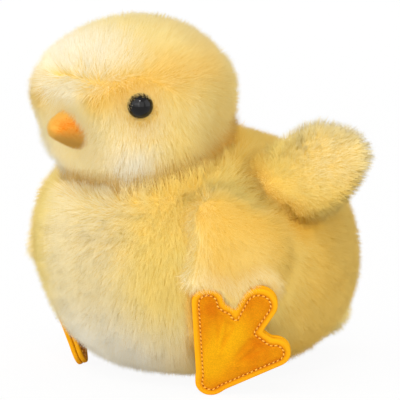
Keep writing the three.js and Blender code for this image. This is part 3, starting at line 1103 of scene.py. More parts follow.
@dataclass
class Beak:
    """A blunt cone of short orange pile: places run from 0 at its tip to 1 at its root. Its tip is paler as a
    painted highlight, its root is deeper orange partly as painted shade, and its underside is paler as
    painted light.
    """

    length: float = 1.7 * MM
    sit: float = 0.5
    at_tip: float = 0.8
    longer: Fade = Fade(0.3, 0.8, 0.5)
    # deeper orange towards the root, partly painted shade; paler at the tip, a painted highlight
    gold: Fade = Fade(0.36, 0.78)
    pale: Fade = Fade(0.6, 0.1, 0.6)
    # painted light on the downward-facing underside: less orange and paler
    underside: Fade = Fade(-0.1, -0.7)
    under_gold: float = 0.5
    under_pale: float = 0.4
    cover: Fade = Fade(0.98, 0.9)
    pile: Pile = Pile(BEAK_PILE, per_mm2=24.0, slimness=0.06, disorder=0.3, clump=700.0)

    def build(self) -> None:
        """Makes the skin of the beak and its short pile, combed to the tip."""
        nodes = ["beak_cover", "beak_stuffing"]
        skin = Skin(nodes, middle("beak_cover"), 5, soften=2, calm=2)
        normals = skin.normals()
        low, high = corners("beak_cover")
        from_tip = (skin.points[:, 1] - low[1]) / (high[1] - low[1])
        under = self.underside(normals[:, 2])
        coat = Coat.even(normals, self.length, FORWARD)
        coat.length *= self.at_tip + self.longer(from_tip)
        # painted shade towards the root; painted light at the tip and on the underside
        coat.gold = self.gold(from_tip) * (1.0 - self.under_gold * under)
        coat.pale = self.pale(from_tip) + self.under_pale * under
        coat.cover = self.cover(from_tip)
        skin.sunk(coat.length * self.sit)
        backing("beak_backing", skin, BEAK_BACKING, "head", nodes, shades=False)
        self.pile.dress(skin, coat, [("beak_pile", ALL, 1)], "head", "beak_pile")


@dataclass
class Head:
    """The head: a cap swept up over the crown, a face combed down, and full cheeks.

    The fades are named for what they change and for the distance or height that they run over.
    """

    cap_length: float = 6.0 * MM
    face_length: float = 5.4 * MM
    cheek_length: float = 7.0 * MM
    middle_height: float = 90 * MM
    beak_root: float = 3.0 * MM
    seam_front: float = 94.0 * MM
    seam_slope: float = 32.0
    seam_level: float = 106.0 * MM
    eye_socket: float = 6.0 * MM
    beak_socket: float = 7.0 * MM
    socket_rounds: int = 240
    hollow_rounds: int = 220
    muzzle: float = 1.2 * MM
    muzzle_aside: float = 10 * MM
    muzzle_height: float = 90 * MM
    muzzle_width: float = 8 * MM
    dimple: Spot = Spot(0.0, 4.0 * MM, 1.2 * MM)
    front: Fade = Fade(24 * MM, 4 * MM)
    trim_seam: Fade = Fade(-2.0 * MM, 3.0 * MM)
    trim_beak: Fade = Fade(27 * MM, 15 * MM)
    trim_eye: Fade = Fade(15 * MM, 8 * MM)
    cheek_seam: Fade = Fade(0.0, 8 * MM)
    cheek_height: Fade = Fade(86 * MM, 74 * MM)
    short_beak: Fade = Fade(10 * MM, 6.5 * MM, 0.2)
    short_eye: Fade = Fade(8 * MM, 4.5 * MM, 0.3)
    seat_room: Room = Room(2.6 * MM, 1.8)
    swept_height: Fade = Fade(96 * MM, 107 * MM)
    rim_eye: Fade = Fade(6.0 * MM, 4.2 * MM)
    lie: float = 0.1
    lie_height: Fade = Fade(100 * MM, 92 * MM, 0.15)
    rim_upright: float = 0.45
    # painted shadow in a band under the cap's brow, at the sides of the face
    brow_seam: Spot = Spot(1.5 * MM, 6.0 * MM)
    brow_aside: Fade = Fade(5 * MM, 14 * MM)
    brow_gold: float = 0.5
    # painted shade round the eyes, lower on the head, in the crease over the body and towards the back
    gold_eye: Spot = Spot(5 * MM, 3 * MM, 0.25)
    gold_height: Fade = Fade(90 * MM, 82 * MM, 0.12)
    gold_seat: Fade = Fade(9 * MM, 2 * MM, 0.65)
    gold_rear: Fade = Fade(-14 * MM, 16 * MM, 0.18)
    fluffs: tuple[tuple[tuple[float, float, float], float, float], ...] = (
        ((16.6, -49.8, 75.3), 5.8, 0.558),
        ((23.5, -45.5, 74.5), 5.0, 0.248),
        ((25.3, -45.6, 85.3), 5.5, 0.217),
        ((30.0, -33.0, 92.0), 7.0, 0.186),
    )
    pale: float = 0.12
    # painted light on the front, less on the trimmed face, and on the top; none in the crease over the body
    pale_front: Fade = Fade(-8 * MM, -26 * MM, 0.8)
    pale_trimmed: float = 0.6
    pale_height: Fade = Fade(98 * MM, 106 * MM, 0.12)
    pale_seat: Fade = Fade(2.5 * MM, 6 * MM)
    cover_eye: Fade = Fade(3.5 * MM, 4.1 * MM)
    cover_beak: Fade = Fade(4.0 * MM, 5.2 * MM)
    thick_trimmed: float = 0.2
    thick_beak: Fade = Fade(16 * MM, 10 * MM, 0.2)
    thin_seat: Fade = Fade(2.5 * MM, 0.8 * MM, 0.65)
    sit: float = 0.82
    raised_seat: Fade = Fade(8 * MM, 1.0 * MM, 0.75)
    raised_eye: Fade = Fade(8 * MM, 5 * MM, 0.45)
    raised_beak: Fade = Fade(12 * MM, 8 * MM, 0.25)
    pile: Pile = Pile(CREAM_PILE, per_mm2=9.0)

    def below_seam(self, points: Array) -> Array:
        """How far points lie below the cap's seam.

        Args:
            points: the points.

        Returns:
            Their drop from the seam, which climbs from the brow to the nape.
        """
        face = corners("head_cap_panel")[0][1]
        climb = (points[:, 1] - face) * math.tan(math.radians(self.seam_slope))
        return np.minimum(self.seam_front + climb, self.seam_level) - points[:, 2]

    def beak(self) -> Array:
        """The middle of the beak's root."""
        low, high = corners("beak_cover")
        return np.array((0.0, high[1] - self.beak_root, (low[2] + high[2]) / 2))

    def behind(self, points: Array) -> Array:
        """How far points lie behind the neck's axis."""
        return points[:, 1] - pivot("head_turn")[1]

    def from_beak_axis(self, points: Array) -> Array:
        """Distance of points from the beak's axis, with FAR added behind the neck's."""
        return np.hypot(points[:, 0], points[:, 2] - self.beak()[2]) + FAR * (self.behind(points) > 0)

    def coat(self, skin: Skin, eyes: Eyes, seated: Array) -> Coat:
        """How the pile lies over the head.

        Args:
            skin: the head's skin, before it is sunk.
            eyes: the eyes that the pile leaves free.
            seated: each point's gap to the body's covers, which the lower head turns in.

        Returns:
            The coat.
        """
        points, normals = skin.points, skin.normals()
        aside, height, behind = np.abs(points[:, 0]), points[:, 2], self.behind(points)
        under, front = self.below_seam(points), self.front(behind)
        to_beak = np.linalg.norm(points - self.beak(), axis=1)
        to_eye = eyes.from_axis(points)
        over = np.maximum(self.swept_height(height), 1.0 - front)[:, None]
        coat = Coat.even(normals, self.cap_length, DOWN * (1 - over) + unit(points - self.beak()) * over)
        rim = self.rim_eye(to_eye)
        coat.comb = coat.comb * (1 - rim)[:, None] + across(eyes.to_axis(points), normals) * rim[:, None]
        coat.lie = self.lie + self.lie_height(height) - self.rim_upright * rim
        full = self.cheek_seam(under) * self.cheek_height(height)
        trimmed = self.trim_seam(under) * front * np.maximum(self.trim_beak(to_beak), self.trim_eye(to_eye))
        coat.length += full * (self.cheek_length - self.cap_length)
        coat.length += trimmed * (self.face_length - coat.length)
        coat.length *= 1.0 - self.short_beak(to_beak) - self.short_eye(to_eye)
        coat.length = np.minimum(coat.length, self.seat_room(seated))
        # painted shadow under the cap's brow; painted shade round the eyes, low down, in the crease and
        # towards the back
        brow_shadow_band = self.brow_seam(under) * front * self.brow_aside(aside)
        gold = self.brow_gold * brow_shadow_band + self.gold_eye(to_eye) + self.gold_height(height)
        coat.gold = np.clip(gold + self.gold_seat(seated) + self.gold_rear(behind), 0, 1)
        mirrored = np.column_stack((aside, points[:, 1:]))
        for place, reach, strength in self.fluffs:
            off = np.linalg.norm(mirrored - np.array(place) * MM, axis=1)
            coat.pale += strength * hump(off, reach * MM)
        # painted light on the front and the top, kept out of the crease
        coat.pale += self.pale_front(behind) * (1 - self.pale_trimmed * trimmed) * (1 - brow_shadow_band)
        coat.pale += self.pale + self.pale_height(height) * (1 - brow_shadow_band)
        coat.pale = np.clip(coat.pale * self.pale_seat(seated), 0, 1)
        coat.cover = self.cover_eye(to_eye) * self.cover_beak(self.from_beak_axis(points))
        coat.cover *= 1.0 + self.thick_trimmed * trimmed + self.thick_beak(to_beak)
        coat.cover *= 1.0 - self.thin_seat(seated)
        return coat

    def depths(self, skin: Skin, eyes: Eyes, seated: Array, length: Array) -> Array:
        """How deep the skin is sunk under its pile.

        Args:
            skin: the head's skin.
            eyes: the eyes, which it closes in on.
            seated: each point's gap to the body's covers.
            length: the pile's length at each point.

        Returns:
            A depth for each point.
        """
        to_beak = np.linalg.norm(skin.points - self.beak(), axis=1)
        to_eye = eyes.from_axis(skin.points)
        share = self.sit * (1.0 - self.raised_seat(seated))
        share = share - self.raised_eye(to_eye) - self.raised_beak(to_beak)
        return length * share + self.dimple(to_eye)

    def shape(self, nodes: list[str], eyes: Eyes) -> Skin:
        """The head's form: drawn over its sockets, without hollows, and with a muzzle.

        Args:
            nodes: the CAD nodes of the head.
            eyes: the eyes, whose sockets are closed.

        Returns:
            The skin.
        """
        skin = Skin(nodes, np.array((0.0, pivot("head_turn")[1], self.middle_height)), 7, soften=8, calm=40)
        sockets = eyes.from_axis(skin.points) < self.eye_socket
        sockets |= self.from_beak_axis(skin.points) < self.beak_socket
        skin.smoothed_over(sockets, self.socket_rounds)
        skin.filled_out(self.hollow_rounds)
        x, z = skin.points[:, 0], skin.points[:, 2]
        swell = hump(np.hypot(np.abs(x) - self.muzzle_aside, z - self.muzzle_height), self.muzzle_width)
        swell = np.where(self.behind(skin.points) < 0, swell, 0.0)
        skin.points = skin.points + skin.normals() * swell[:, None] * self.muzzle
        return skin

    def build(self, shell: BVHTree) -> None:
        """Makes the head's skin, beads, beak and the pile of its panels.

        Args:
            shell: the body's covers, which the lower head turns in.
        """
        eyes = Eyes()
        nodes = ["head_cap_panel", "head_left_cheek_panel", "head_right_cheek_panel", "head_stuffing"]
        skin = self.shape(nodes, eyes)
        seated = gaps_to(shell, skin.points)
        coat = self.coat(skin, eyes, seated)
        skin.sunk(self.depths(skin, eyes, seated, coat.length))
        backing("head_backing", skin, BACKING, "head", nodes, shades=False)
        middles = skin.middles()
        cap = self.below_seam(middles) < 0
        rear = self.behind(middles) > 0
        panels = [("head_cap_pile", cap, 10)]
        for part, chosen in (("cheek", ~rear), ("nape", rear)):
            for side in Side:
                ours = (middles[:, 0] > 0) == (side is Side.LEFT)
                panels.append((f"head_{side.word}_{part}_pile", ~cap & ours & chosen, 10 + len(panels)))
        self.pile.dress(skin, coat, panels, "head")
        eyes.build()
        Beak().build()


@dataclass
class Neck:
    """The gathered plug of stuffing that the head turns on, hidden under the chin."""

    gathers: int = 14
    depth: float = 0.35 * MM
    slack: float = 0.2 * MM
    gathered: Fade = Fade(3 * MM, 9 * MM)

    def build(self) -> None:
        """Makes the plug with pleats drawn in round it."""
        skin = Skin(["neck_stuffing"], middle("neck_stuffing"), 5, soften=1)
        away = skin.points - middle("neck_stuffing")
        pleats = 0.5 - 0.5 * np.cos(self.gathers * np.arctan2(away[:, 1], away[:, 0]))
        skin.sunk(self.slack + self.depth * pleats * self.gathered(np.hypot(away[:, 0], away[:, 1])))
        backing("neck_gathers", skin, GATHERS, "neck", ["neck_stuffing"])


BODY_COVERS = ["body_belly_panel", "body_left_panel", "body_right_panel", "body_base_panel"]
CHEEKS = ["head_left_cheek_panel", "head_right_cheek_panel", "head_stuffing"]
LOBES = ["thigh_left_cover", "thigh_right_cover", "tail_cover"]
FOOT_FELTS = [f"foot_{side.word}_{layer}_felt" for side in Side for layer in ("back", "sole")]
WING_PANELS = [f"wing_{side.word}_{face}_panel" for side in Side for face in ("front", "back")]


@dataclass
class Body:
    """The body: a full egg of long pile combed down, standing up round the head to fill the crease.

    The fades are named for what they change and for the gap or place that they run over.
    """

    length: float = 6.0 * MM
    rim_length: float = 9.0 * MM
    middle_height: float = 36 * MM
    base_height: float = 12 * MM
    base_radius: float = 25 * MM
    parts: tuple[tuple[str, float, float], ...] = (
        ("belly", 0.0, 42.0),
        ("flank", 42.0, 92.0),
        ("rump", 92.0, 180.1),
    )
    rim_head: Fade = Fade(7 * MM, 2 * MM)
    rim_radius: Fade = Fade(36.0 * MM, 37.0 * MM)
    dish_radius: float = 36.6 * MM
    dish_height: float = 50 * MM
    dish_room: Room = Room(2.0 * MM)
    dish_cover: float = 0.55
    dish_sit: float = 0.12
    rear: Fade = Fade(-15 * MM, 30 * MM)
    spread: float = 0.2
    rearward: float = 0.5
    rim_rise: float = 0.9
    rim_inward: float = 0.6
    lie: float = 0.1
    rim_lie: float = 0.2
    feet_room: Room = Room(0.4 * MM, 1.1, 1.6 * MM)
    wing_room: Room = Room(3.2 * MM, 0.8)
    floor_room: Room = Room(1.2 * MM, 0.8, 1.2 * MM)
    # painted shade under the head and the wings, beside the thighs and tail, by the feet, towards the back
    # and near the floor
    gold_head: Fade = Fade(9 * MM, 2 * MM, 0.35)
    gold_wings: Fade = Fade(8 * MM, 1 * MM, 0.55)
    gold_lobes: Fade = Fade(4 * MM, 1 * MM, 0.30)
    gold_feet: Fade = Fade(4 * MM, 1 * MM, 0.6)
    gold_rear: Fade = Fade(-26 * MM, 14 * MM, 0.62)
    gold_height: Fade = Fade(20 * MM, 4 * MM, 0.25)
    # painted light on the front, most towards the middle and low down
    pale_front: Fade = Fade(-15 * MM, -40 * MM, 0.6)
    pale_aside: Fade = Fade(28 * MM, 8 * MM)
    pale_height: Fade = Fade(36 * MM, 14 * MM)
    thin_lobes: Fade = Fade(0.9 * MM, 0.4 * MM, 0.85)
    thin_sockets: Fade = Fade(8.0 * MM, 6.0 * MM, 0.75)
    thin_height: Fade = Fade(5.0 * MM, 1.0 * MM, 0.65)
    rim_thicker: float = 0.3
    sit: float = 0.66
    belly_sit: float = 0.56
    base_sit: float = 0.84
    belly: Fade = Fade(-5 * MM, -30 * MM)
    base: Fade = Fade(8 * MM, 2 * MM)
    raised_rim: float = 0.85
    raised_wings: Fade = Fade(7 * MM, 1 * MM, 0.7)
    raised_lobes: Fade = Fade(9 * MM, 0.5 * MM, 0.85)
    pile: Pile = Pile(CREAM_PILE, per_mm2=9.0)

    def coat(self, skin: Skin) -> tuple[Coat, Array]:
        """How the pile lies over the body, by what is near each point.

        Args:
            skin: the body's skin, before it is sunk.

        Returns:
            The coat, and how deep the skin is sunk under it.
        """
        points, turn = skin.points, pivot("head_turn")
        y, height = points[:, 1], points[:, 2]
        near = (CHEEKS, FOOT_FELTS, LOBES, WING_PANELS)
        head, feet, lobes, wings = (gaps_to(tree_of(nodes), points) for nodes in near)
        hinges = (np.linalg.norm(points - pivot(f"wing_{side.word}_flap"), axis=1) for side in Side)
        off = np.linalg.norm(points - turn, axis=1)
        in_dish = (off < self.dish_radius) & (height > self.dish_height)
        rim = self.rim_head(head) * self.rim_radius(off)
        to_rim, back = rim[:, None], self.rear(y)[:, None]
        aside = unit(points * np.array((1.0, 0.0, 0.0)))
        inward = unit((turn - points) * np.array((1.0, 1.0, 0.0)))
        down = DOWN + aside * self.spread * (1 - back) - FORWARD * self.rearward * back
        comb = down * (1 - to_rim) + (UP * self.rim_rise + inward * self.rim_inward) * to_rim
        coat = Coat.even(skin.normals(), self.length, comb)
        coat.lie = self.lie + self.rim_lie * rim
        coat.length += rim * (self.rim_length - self.length)
        coat.length = np.where(in_dish, np.minimum(coat.length, self.dish_room(head)), coat.length)
        for room, gaps in ((self.feet_room, feet), (self.wing_room, wings), (self.floor_room, height)):
            coat.length = np.minimum(coat.length, room(gaps))
        # painted shade under the head and wings, beside the lobes and feet, towards the back and near the
        # floor
        gold = self.gold_head(head) + self.gold_wings(wings) + self.gold_lobes(lobes) + self.gold_feet(feet)
        coat.gold = np.clip(gold + self.gold_rear(y) + self.gold_height(height), 0, 1)
        # painted light on the front, towards the middle and low down
        coat.pale = self.pale_front(y) * (self.pale_aside(np.abs(points[:, 0])) + self.pale_height(height))
        coat.cover *= 1.0 - self.thin_lobes(lobes)
        coat.cover *= 1.0 - self.thin_sockets(np.minimum(*hinges))
        coat.cover *= np.where(in_dish, self.dish_cover, 1.0 + self.rim_thicker * rim)
        coat.cover *= 1.0 - self.thin_height(height)
        share = self.sit + (self.belly_sit - self.sit) * self.belly(y)
        share *= (1.0 - self.raised_rim * rim) * np.where(in_dish, self.dish_sit, 1.0)
        share *= (1.0 - self.raised_wings(wings)) * (1.0 - self.raised_lobes(lobes))
        share += (self.base_sit - share) * self.base(height)
        return coat, coat.length * share

    def build(self) -> BVHTree:
        """Makes the body's skin and the pile of its panels.

        Returns:
            The body's covers, to search.
        """
        nodes = [*BODY_COVERS, "body_stuffing", "pellet_bag"]
        middle_y = middle("body_left_panel")[1]
        skin = Skin(nodes, np.array((0.0, middle_y, self.middle_height)), 6, soften=2, calm=6)
        coat, depths = self.coat(skin)
        skin.sunk(depths, 3)
        backing("body_backing", skin, BACKING, "body", nodes)
        x, y, z = skin.middles().T
        base = (z < self.base_height) & (np.hypot(x, y - middle_y) < self.base_radius)
        turned = np.degrees(np.arctan2(x, middle_y - y))
        panels = [("body_base_pile", base, 20)]
        for side in Side:
            for part, start, end in self.parts:
                chosen = ~base & (turned * side.value >= start) & (turned * side.value < end)
                panels.append((f"body_{side.word}_{part}_pile", chosen, 20 + len(panels)))
        self.pile.dress(skin, coat, panels, "body")
        return tree_of(BODY_COVERS)


@dataclass
class Lobe:
    """A stuffed lobe sewn to the body: a thigh or the tail."""

    name: str
    comb: Array
    length: float
    seed: int
    over_toes: bool = False
    sit: float = 0.85
    raised_edge: float = 0.85
    rooted: float = 0.8 * MM
    clear: Fade = Fade(0.2 * MM, 6.0 * MM)
    behind: tuple[float, float, float] = (0.0, 0.0, 40 * MM)
    turned_out: float = 1.6
    turned_out_edge: float = 0.6
    lie: float = 0.34
    cover: Fade = Fade(0.4 * MM, 0.9 * MM)
    gold: float = 0.08
    # painted shade along the seam to the body, painted light away from it
    gold_seam: Spot = Spot(1.0 * MM, 3 * MM, 0.16)
    pale: Fade = Fade(3 * MM, 8 * MM, 0.15)
    edge: Fade = Fade(9 * MM, 3 * MM)
    fringe: Spot = Spot(5 * MM, 4 * MM, 1.0 * MM)
    fringe_room: Room = Room(1.8 * MM, 0.8)
    fringe_pale: Spot = Spot(4.5 * MM, 2.5 * MM, 0.3)
    # painted shade on the lobe's sides and back, painted light on its front
    aside: Fade = Fade(-0.2, 0.5)
    aside_rear: float = 0.4
    aside_gold: float = 0.28
    front_pale: float = 0.4
    pile: Pile = Pile(CREAM_PILE, per_mm2=11.0)

    @classmethod
    def thigh(cls, side: Side) -> "Lobe":
        """The thigh of one side, combed down and a little back over its foot."""
        comb = DOWN + outwards(90.0 * side.value) * 0.1 - FORWARD * 0.35
        return cls(f"thigh_{side.word}", comb, length=5.0 * MM, seed=30, over_toes=True)

    @classmethod
    def tail(cls) -> "Lobe":
        """The tail tuft, combed back."""
        return cls("tail", np.array((0.0, 1.0, -0.3)), length=5.5 * MM, seed=35)

    def fringed(self, coat: Coat, normals: Array, feet: Array) -> None:
        """Lengthens the pile that lies over the toes, paints golden shade on the lobe's sides and back, and
        paints light on its front.

        Args:
            coat: the coat, which is changed.
            normals: the skin's normals.
            feet: each point's gap to the felt of the feet.
        """
        coat.length = np.minimum(coat.length + self.fringe(feet), self.fringe_room(feet))
        aside = self.aside(np.abs(normals[:, 0]) + self.aside_rear * normals[:, 1])
        coat.gold = np.clip((coat.gold + self.aside_gold) * aside, 0, 1)
        coat.pale += self.front_pale * (1 - aside) + self.fringe_pale(feet)

    def build(self, shell: BVHTree) -> None:
        """Makes the lobe's skin, rooted in the body, and its pile.

        Args:
            shell: the body's covers.
        """
        nodes = [f"{self.name}_cover", f"{self.name}_stuffing"]
        skin = Skin(nodes, middle(nodes[0]), 6)
        points, normals = skin.points, skin.normals()
        gap = gaps_to(shell, points)
        coat = Coat.even(normals, self.length, self.comb)
        coat.cover = self.cover(gap)
        # painted shade along the seam to the body, painted light away from it
        coat.gold = self.gold + self.gold_seam(gap)
        coat.pale = self.pale(gap)
        coat.lie += self.lie
        edge = np.zeros(len(points))
        if self.over_toes:
            feet = gaps_to(tree_of(FOOT_FELTS), points)
            edge = self.edge(feet)
            self.fringed(coat, normals, feet)
        clear = self.clear(gap)
        turned = self.turned_out * np.maximum(1 - clear, self.turned_out_edge * edge)
        skin.face = unit(skin.calm_normals() + unit(points - self.behind) * turned[:, None])
        depths = coat.length * self.sit * clear * (1.0 - self.raised_edge * edge)
        skin.sunk(depths - self.rooted * (1 - clear))
        backing(f"{self.name}_backing", skin, BACKING, "body", nodes, shades=False)
        self.pile.dress(skin, coat, [(f"{self.name}_pile", ALL, self.seed)], "body")


@dataclass
class Wing:
    """A flat stuffed wing of two panels, combed to its tip, with painted shade at its root and its lower edge
    and painted light towards its tip and upper edge.
    """

    side: Side
    length: float = 4.6 * MM
    sit: float = 0.55
    sweep: float = 128.0
    lift: float = 20.0
    middle_along: float = 12 * MM
    droop: float = 0.35
    room: Room = Room(3.4 * MM)
    lie: float = 0.18
    # painted shade at the root and along the lower edge; painted light towards the tip and the upper edge
    gold_root: Fade = Fade(7 * MM, 1.0 * MM, 0.75)
    gold_lower: Fade = Fade(-1 * MM, -12 * MM, 0.35)
    pale_outer: Fade = Fade(2 * MM, 18 * MM, 0.45)
    pale_upper: Fade = Fade(-10 * MM, 2 * MM)
    thin_root: Fade = Fade(1.5 * MM, 0.5 * MM, 0.6)
    raised_root: Fade = Fade(7 * MM, 0.6 * MM, 0.9)
    pile: Pile = Pile(CREAM_PILE, per_mm2=10.0, disorder=0.26)

    def build(self, shell: BVHTree) -> None:
        """Makes the wing's skin and the pile of its two panels.

        Args:
            shell: the body's covers.
        """
        name = f"wing_{self.side.word}"
        nodes = [f"{name}_front_panel", f"{name}_back_panel", f"{name}_stuffing"]
        root, lift = pivot(f"{name}_flap"), math.radians(self.lift)
        along = outwards(self.side.value * self.sweep) * math.cos(lift) + UP * math.sin(lift)
        hinge = np.array(joint(f"{name}_flap")["axis"]) * self.side.value
        front = -unit(np.cross(along, hinge))
        skin = Skin(nodes, root + along * self.middle_along, 6)
        outer = (skin.points - root) @ along
        rise = skin.points[:, 2] - (root[2] + outer * along[2])
        gap = gaps_to(shell, skin.points)
        coat = Coat.even(skin.normals(), self.length, along + DOWN * self.droop)
        coat.length = np.minimum(coat.length, self.room(gap))
        coat.lie += self.lie
        # painted shade at the root and lower edge, painted light towards the tip and top
        coat.gold = self.gold_root(gap) + self.gold_lower(rise)
        coat.pale = self.pale_outer(outer) * self.pale_upper(rise)
        coat.cover *= 1.0 - self.thin_root(gap)
        skin.sunk(coat.length * self.sit * (1.0 - self.raised_root(gap)))
        backing(f"{name}_backing", skin, BACKING, name, nodes)
        ahead = (skin.middles() - root) @ front > 0
        panels = [(f"{name}_front_pile", ahead, 40), (f"{name}_back_pile", ~ahead, 41)]
        self.pile.dress(skin, coat, panels, name)


def bar_distance(at: Array, start: Array, start_radius: float, end: Array, end_radius: float) -> Array:
    """Signed distance of points from a bar with round ends of two sizes.

    Args:
        at: points in the plane.
        start: the first end's centre.
        start_radius: its radius.
        end: the other end's centre.
        end_radius: its radius.

    Returns:
        The distances, below zero inside.
    """
    span = end - start
    length = np.linalg.norm(span)
    way = span / length
    off = at - start
    along = off @ way
    aside = np.abs(off @ np.array((-way[1], way[0])))
    b = (start_radius - end_radius) / length
    a = math.sqrt(1.0 - b * b)
    k = -b * aside + a * along
    side = a * aside + b * along - start_radius
    past_end = np.where(k > a * length, np.hypot(aside, along - length) - end_radius, side)
    return np.where(k < 0, np.hypot(aside, along) - start_radius, past_end)


@dataclass
class Foot:
    """A three-toed foot: two sheets of felt puffed by wadding and sewn through inside the edge.

    Toes are given by reach in mm, angle in degrees and radius in mm, and palms by reach and angle. The bevel
    is given by reach in mm and share of the thickness. The right foot is made as the left one and mirrored.
    """

    side: Side
    azimuth: float = 48.0
    lean: float = 20.0
    turn: float = 28.0
    heel_radius: float = 4.5 * MM
    toes: tuple[tuple[float, float, float], ...] = ((28.4, -30.0, 5.0), (31.2, 0.0, 5.9), (22.4, 34.0, 5.0))
    palms: tuple[Pair, ...] = ((24.5, -17.0), (18.5, 17.0))
    web_radius: float = 3.2 * MM
    blend: float = 1.0 * MM
    longest: float = 42.0 * MM
    directions: int = 1440
    reach_rounds: int = 200
    reach_step: float = 0.8
    ankle_along: float = 10.0 * MM
    ankle_under: float = 4.3 * MM
    felt: float = 1.45 * MM
    thickness: float = 3.1 * MM
    step: float = 0.62 * MM
    row: float = 0.866
    edge_inset: float = 0.35 * MM
    clear_of_edge: float = 0.6
    bevel: tuple[Pair, ...] = ((0.24, 0.10), (0.34, 0.30), (0.35, 0.50), (0.34, 0.70), (0.24, 0.90))
    puff: float = 1.3 * MM
    back_puff: float = 0.3
    held: float = 0.6 * MM
    start_dome: float = 0.02 * MM
    dome_inset: float = 5 * MM
    cloth_scale: float = 20.0
    pressure: float = 9.0
    stiffness: float = 6.0
    shear_stiffness: float = 4.0
    bending_stiffness: float = 1.0
    cloth_quality: int = 6
    cloth_frames: int = 20
    puff_rounds: int = 400
    groove: float = 0.26 * MM
    back_groove: float = 0.6
    crown: Spot = Spot(0.9 * MM, 0.6 * MM, 0.05 * MM)
    groove_width: float = 0.6 * MM
    # painted highlight: a bar across the puffed middle of the sole, its ends in mm, with its radius and fade
    warm: tuple[Pair, Pair] = ((-0.5, 6.0), (6.2, 17.0))
    warm_radius: float = 2 * MM
    warm_width: float = 4.0 * MM
    # paler towards the cut edge and over the felt's wall
    worn_edge: Fade = Fade(2.0 * MM, 0.9 * MM, 0.85)
    seam_shade: float = 0.35
    seam_shade_width: float = 0.5 * MM
    stitch_inset: float = 2.2 * MM
    stitch_pitch: float = 1.5 * MM
    stitch_line: float = 0.4 * MM
    stitch: tuple[float, float, float] = (0.50 * MM, 0.20 * MM, 0.20 * MM)
    hole: tuple[float, float, float] = (0.26 * MM, 0.24 * MM, 0.12 * MM)
    slant: float = 0.40
    slant_spread: Pair = (-0.12, 0.12)
    sole_bite: float = 0.10 * MM
    back_bite: float = 0.05 * MM

    def plane(self) -> tuple[Array, Array]:
        """The left foot's frame.

        Returns:
            The axes (along the body, up the sole, out of the sole) as columns, and the place of the heel.
        """
        out = outwards(self.azimuth)
        beside = np.cross(UP, out)
        lean, turn = math.radians(self.lean), math.radians(self.turn)
        up = UP * math.cos(lean) + out * math.sin(lean)
        axes = np.stack((beside, up, np.cross(beside, up)), axis=1)
        ankle = np.array((math.sin(turn), math.cos(turn), 0.0)) * self.ankle_along - UP * self.ankle_under
        return axes, pivot("foot_left_tilt") - axes @ ankle

    def spoke(self, reach: float, angle: float) -> Array:
        """A point in the foot's plane, by its reach in mm and its angle from the middle toe."""
        a = math.radians(self.turn + angle)
        return np.array((math.sin(a), math.cos(a))) * reach * MM

    def distance(self, at: Array) -> Array:
        """Signed distance of points in the foot's plane from its outline.

        Args:
            at: the points.

        Returns:
            The distances, below zero inside.
        """
        heel, web = np.zeros(2), self.web_radius
        ends = [(self.spoke(reach, angle), radius * MM) for reach, angle, radius in self.toes]
        bars = [bar_distance(at, heel, self.heel_radius, end, radius) for end, radius in ends]
        bars.append(bar_distance(at, ends[0][0], web, ends[2][0], web))
        bars += [bar_distance(at, heel, web, self.spoke(*palm), web) for palm in self.palms]
        nearest = bars[0]
        for bar in bars[1:]:
            h = np.clip(0.5 + 0.5 * (bar - nearest) / self.blend, 0.0, 1.0)
            nearest = bar + (nearest - bar) * h - self.blend * h * (1.0 - h)
        return nearest

    def loop(self, inset: float, step: float) -> Array:
        """A closed line round the foot, even steps apart.

        Args:
            inset: how far inside the outline it runs.
            step: the distance between its points.

        Returns:
            Its points in the foot's plane.
        """
        angles = np.linspace(0.0, 2 * np.pi, self.directions, endpoint=False)
        ways = np.stack((np.sin(angles), np.cos(angles)), axis=1)
        reach = np.full(len(angles), self.longest)
        for _ in range(self.reach_rounds):
            reach -= np.maximum(self.distance(ways * reach[:, None]) + inset, 0.0) * self.reach_step
        line = ways * reach[:, None]
        closed = np.vstack((line, line[:1]))
        run = np.concatenate(([0.0], np.cumsum(np.linalg.norm(np.diff(closed, axis=0), axis=1))))
        even = np.linspace(0.0, run[-1], int(round(run[-1] / step)) + 1)[:-1]
        return np.stack([np.interp(even, run, closed[:, i]) for i in range(2)], axis=1)

    def triangles(self) -> tuple[Array, Array, int]:
        """Fills the outline with triangles.

        Returns:
            The points, with the outline's first, the triangles, and how many points the outline has.
        """
        edge = self.loop(self.edge_inset, self.step)
        count = len(edge)
        rise = self.step * self.row
        rows = []
        for row in range(int(2 * self.longest / rise)):
            xs = np.arange(-self.longest, self.longest, self.step) + (row % 2) * self.step / 2
            rows.append(np.stack((xs, np.full_like(xs, row * rise - self.longest)), axis=1))
        grid = np.vstack(rows)
        grid = grid[self.distance(grid) < -self.edge_inset - self.clear_of_edge * self.step]
        border = [(i, (i + 1) % count) for i in range(count)]
        scaled = [Vector(p) for p in (np.vstack((edge, grid)) / MM).tolist()]
        made = delaunay_2d_cdt(scaled, border, [], 1, 1e-6)
        return np.array([v[:] for v in made[0]]) * MM, np.array([f for f in made[2] if len(f) == 3]), count

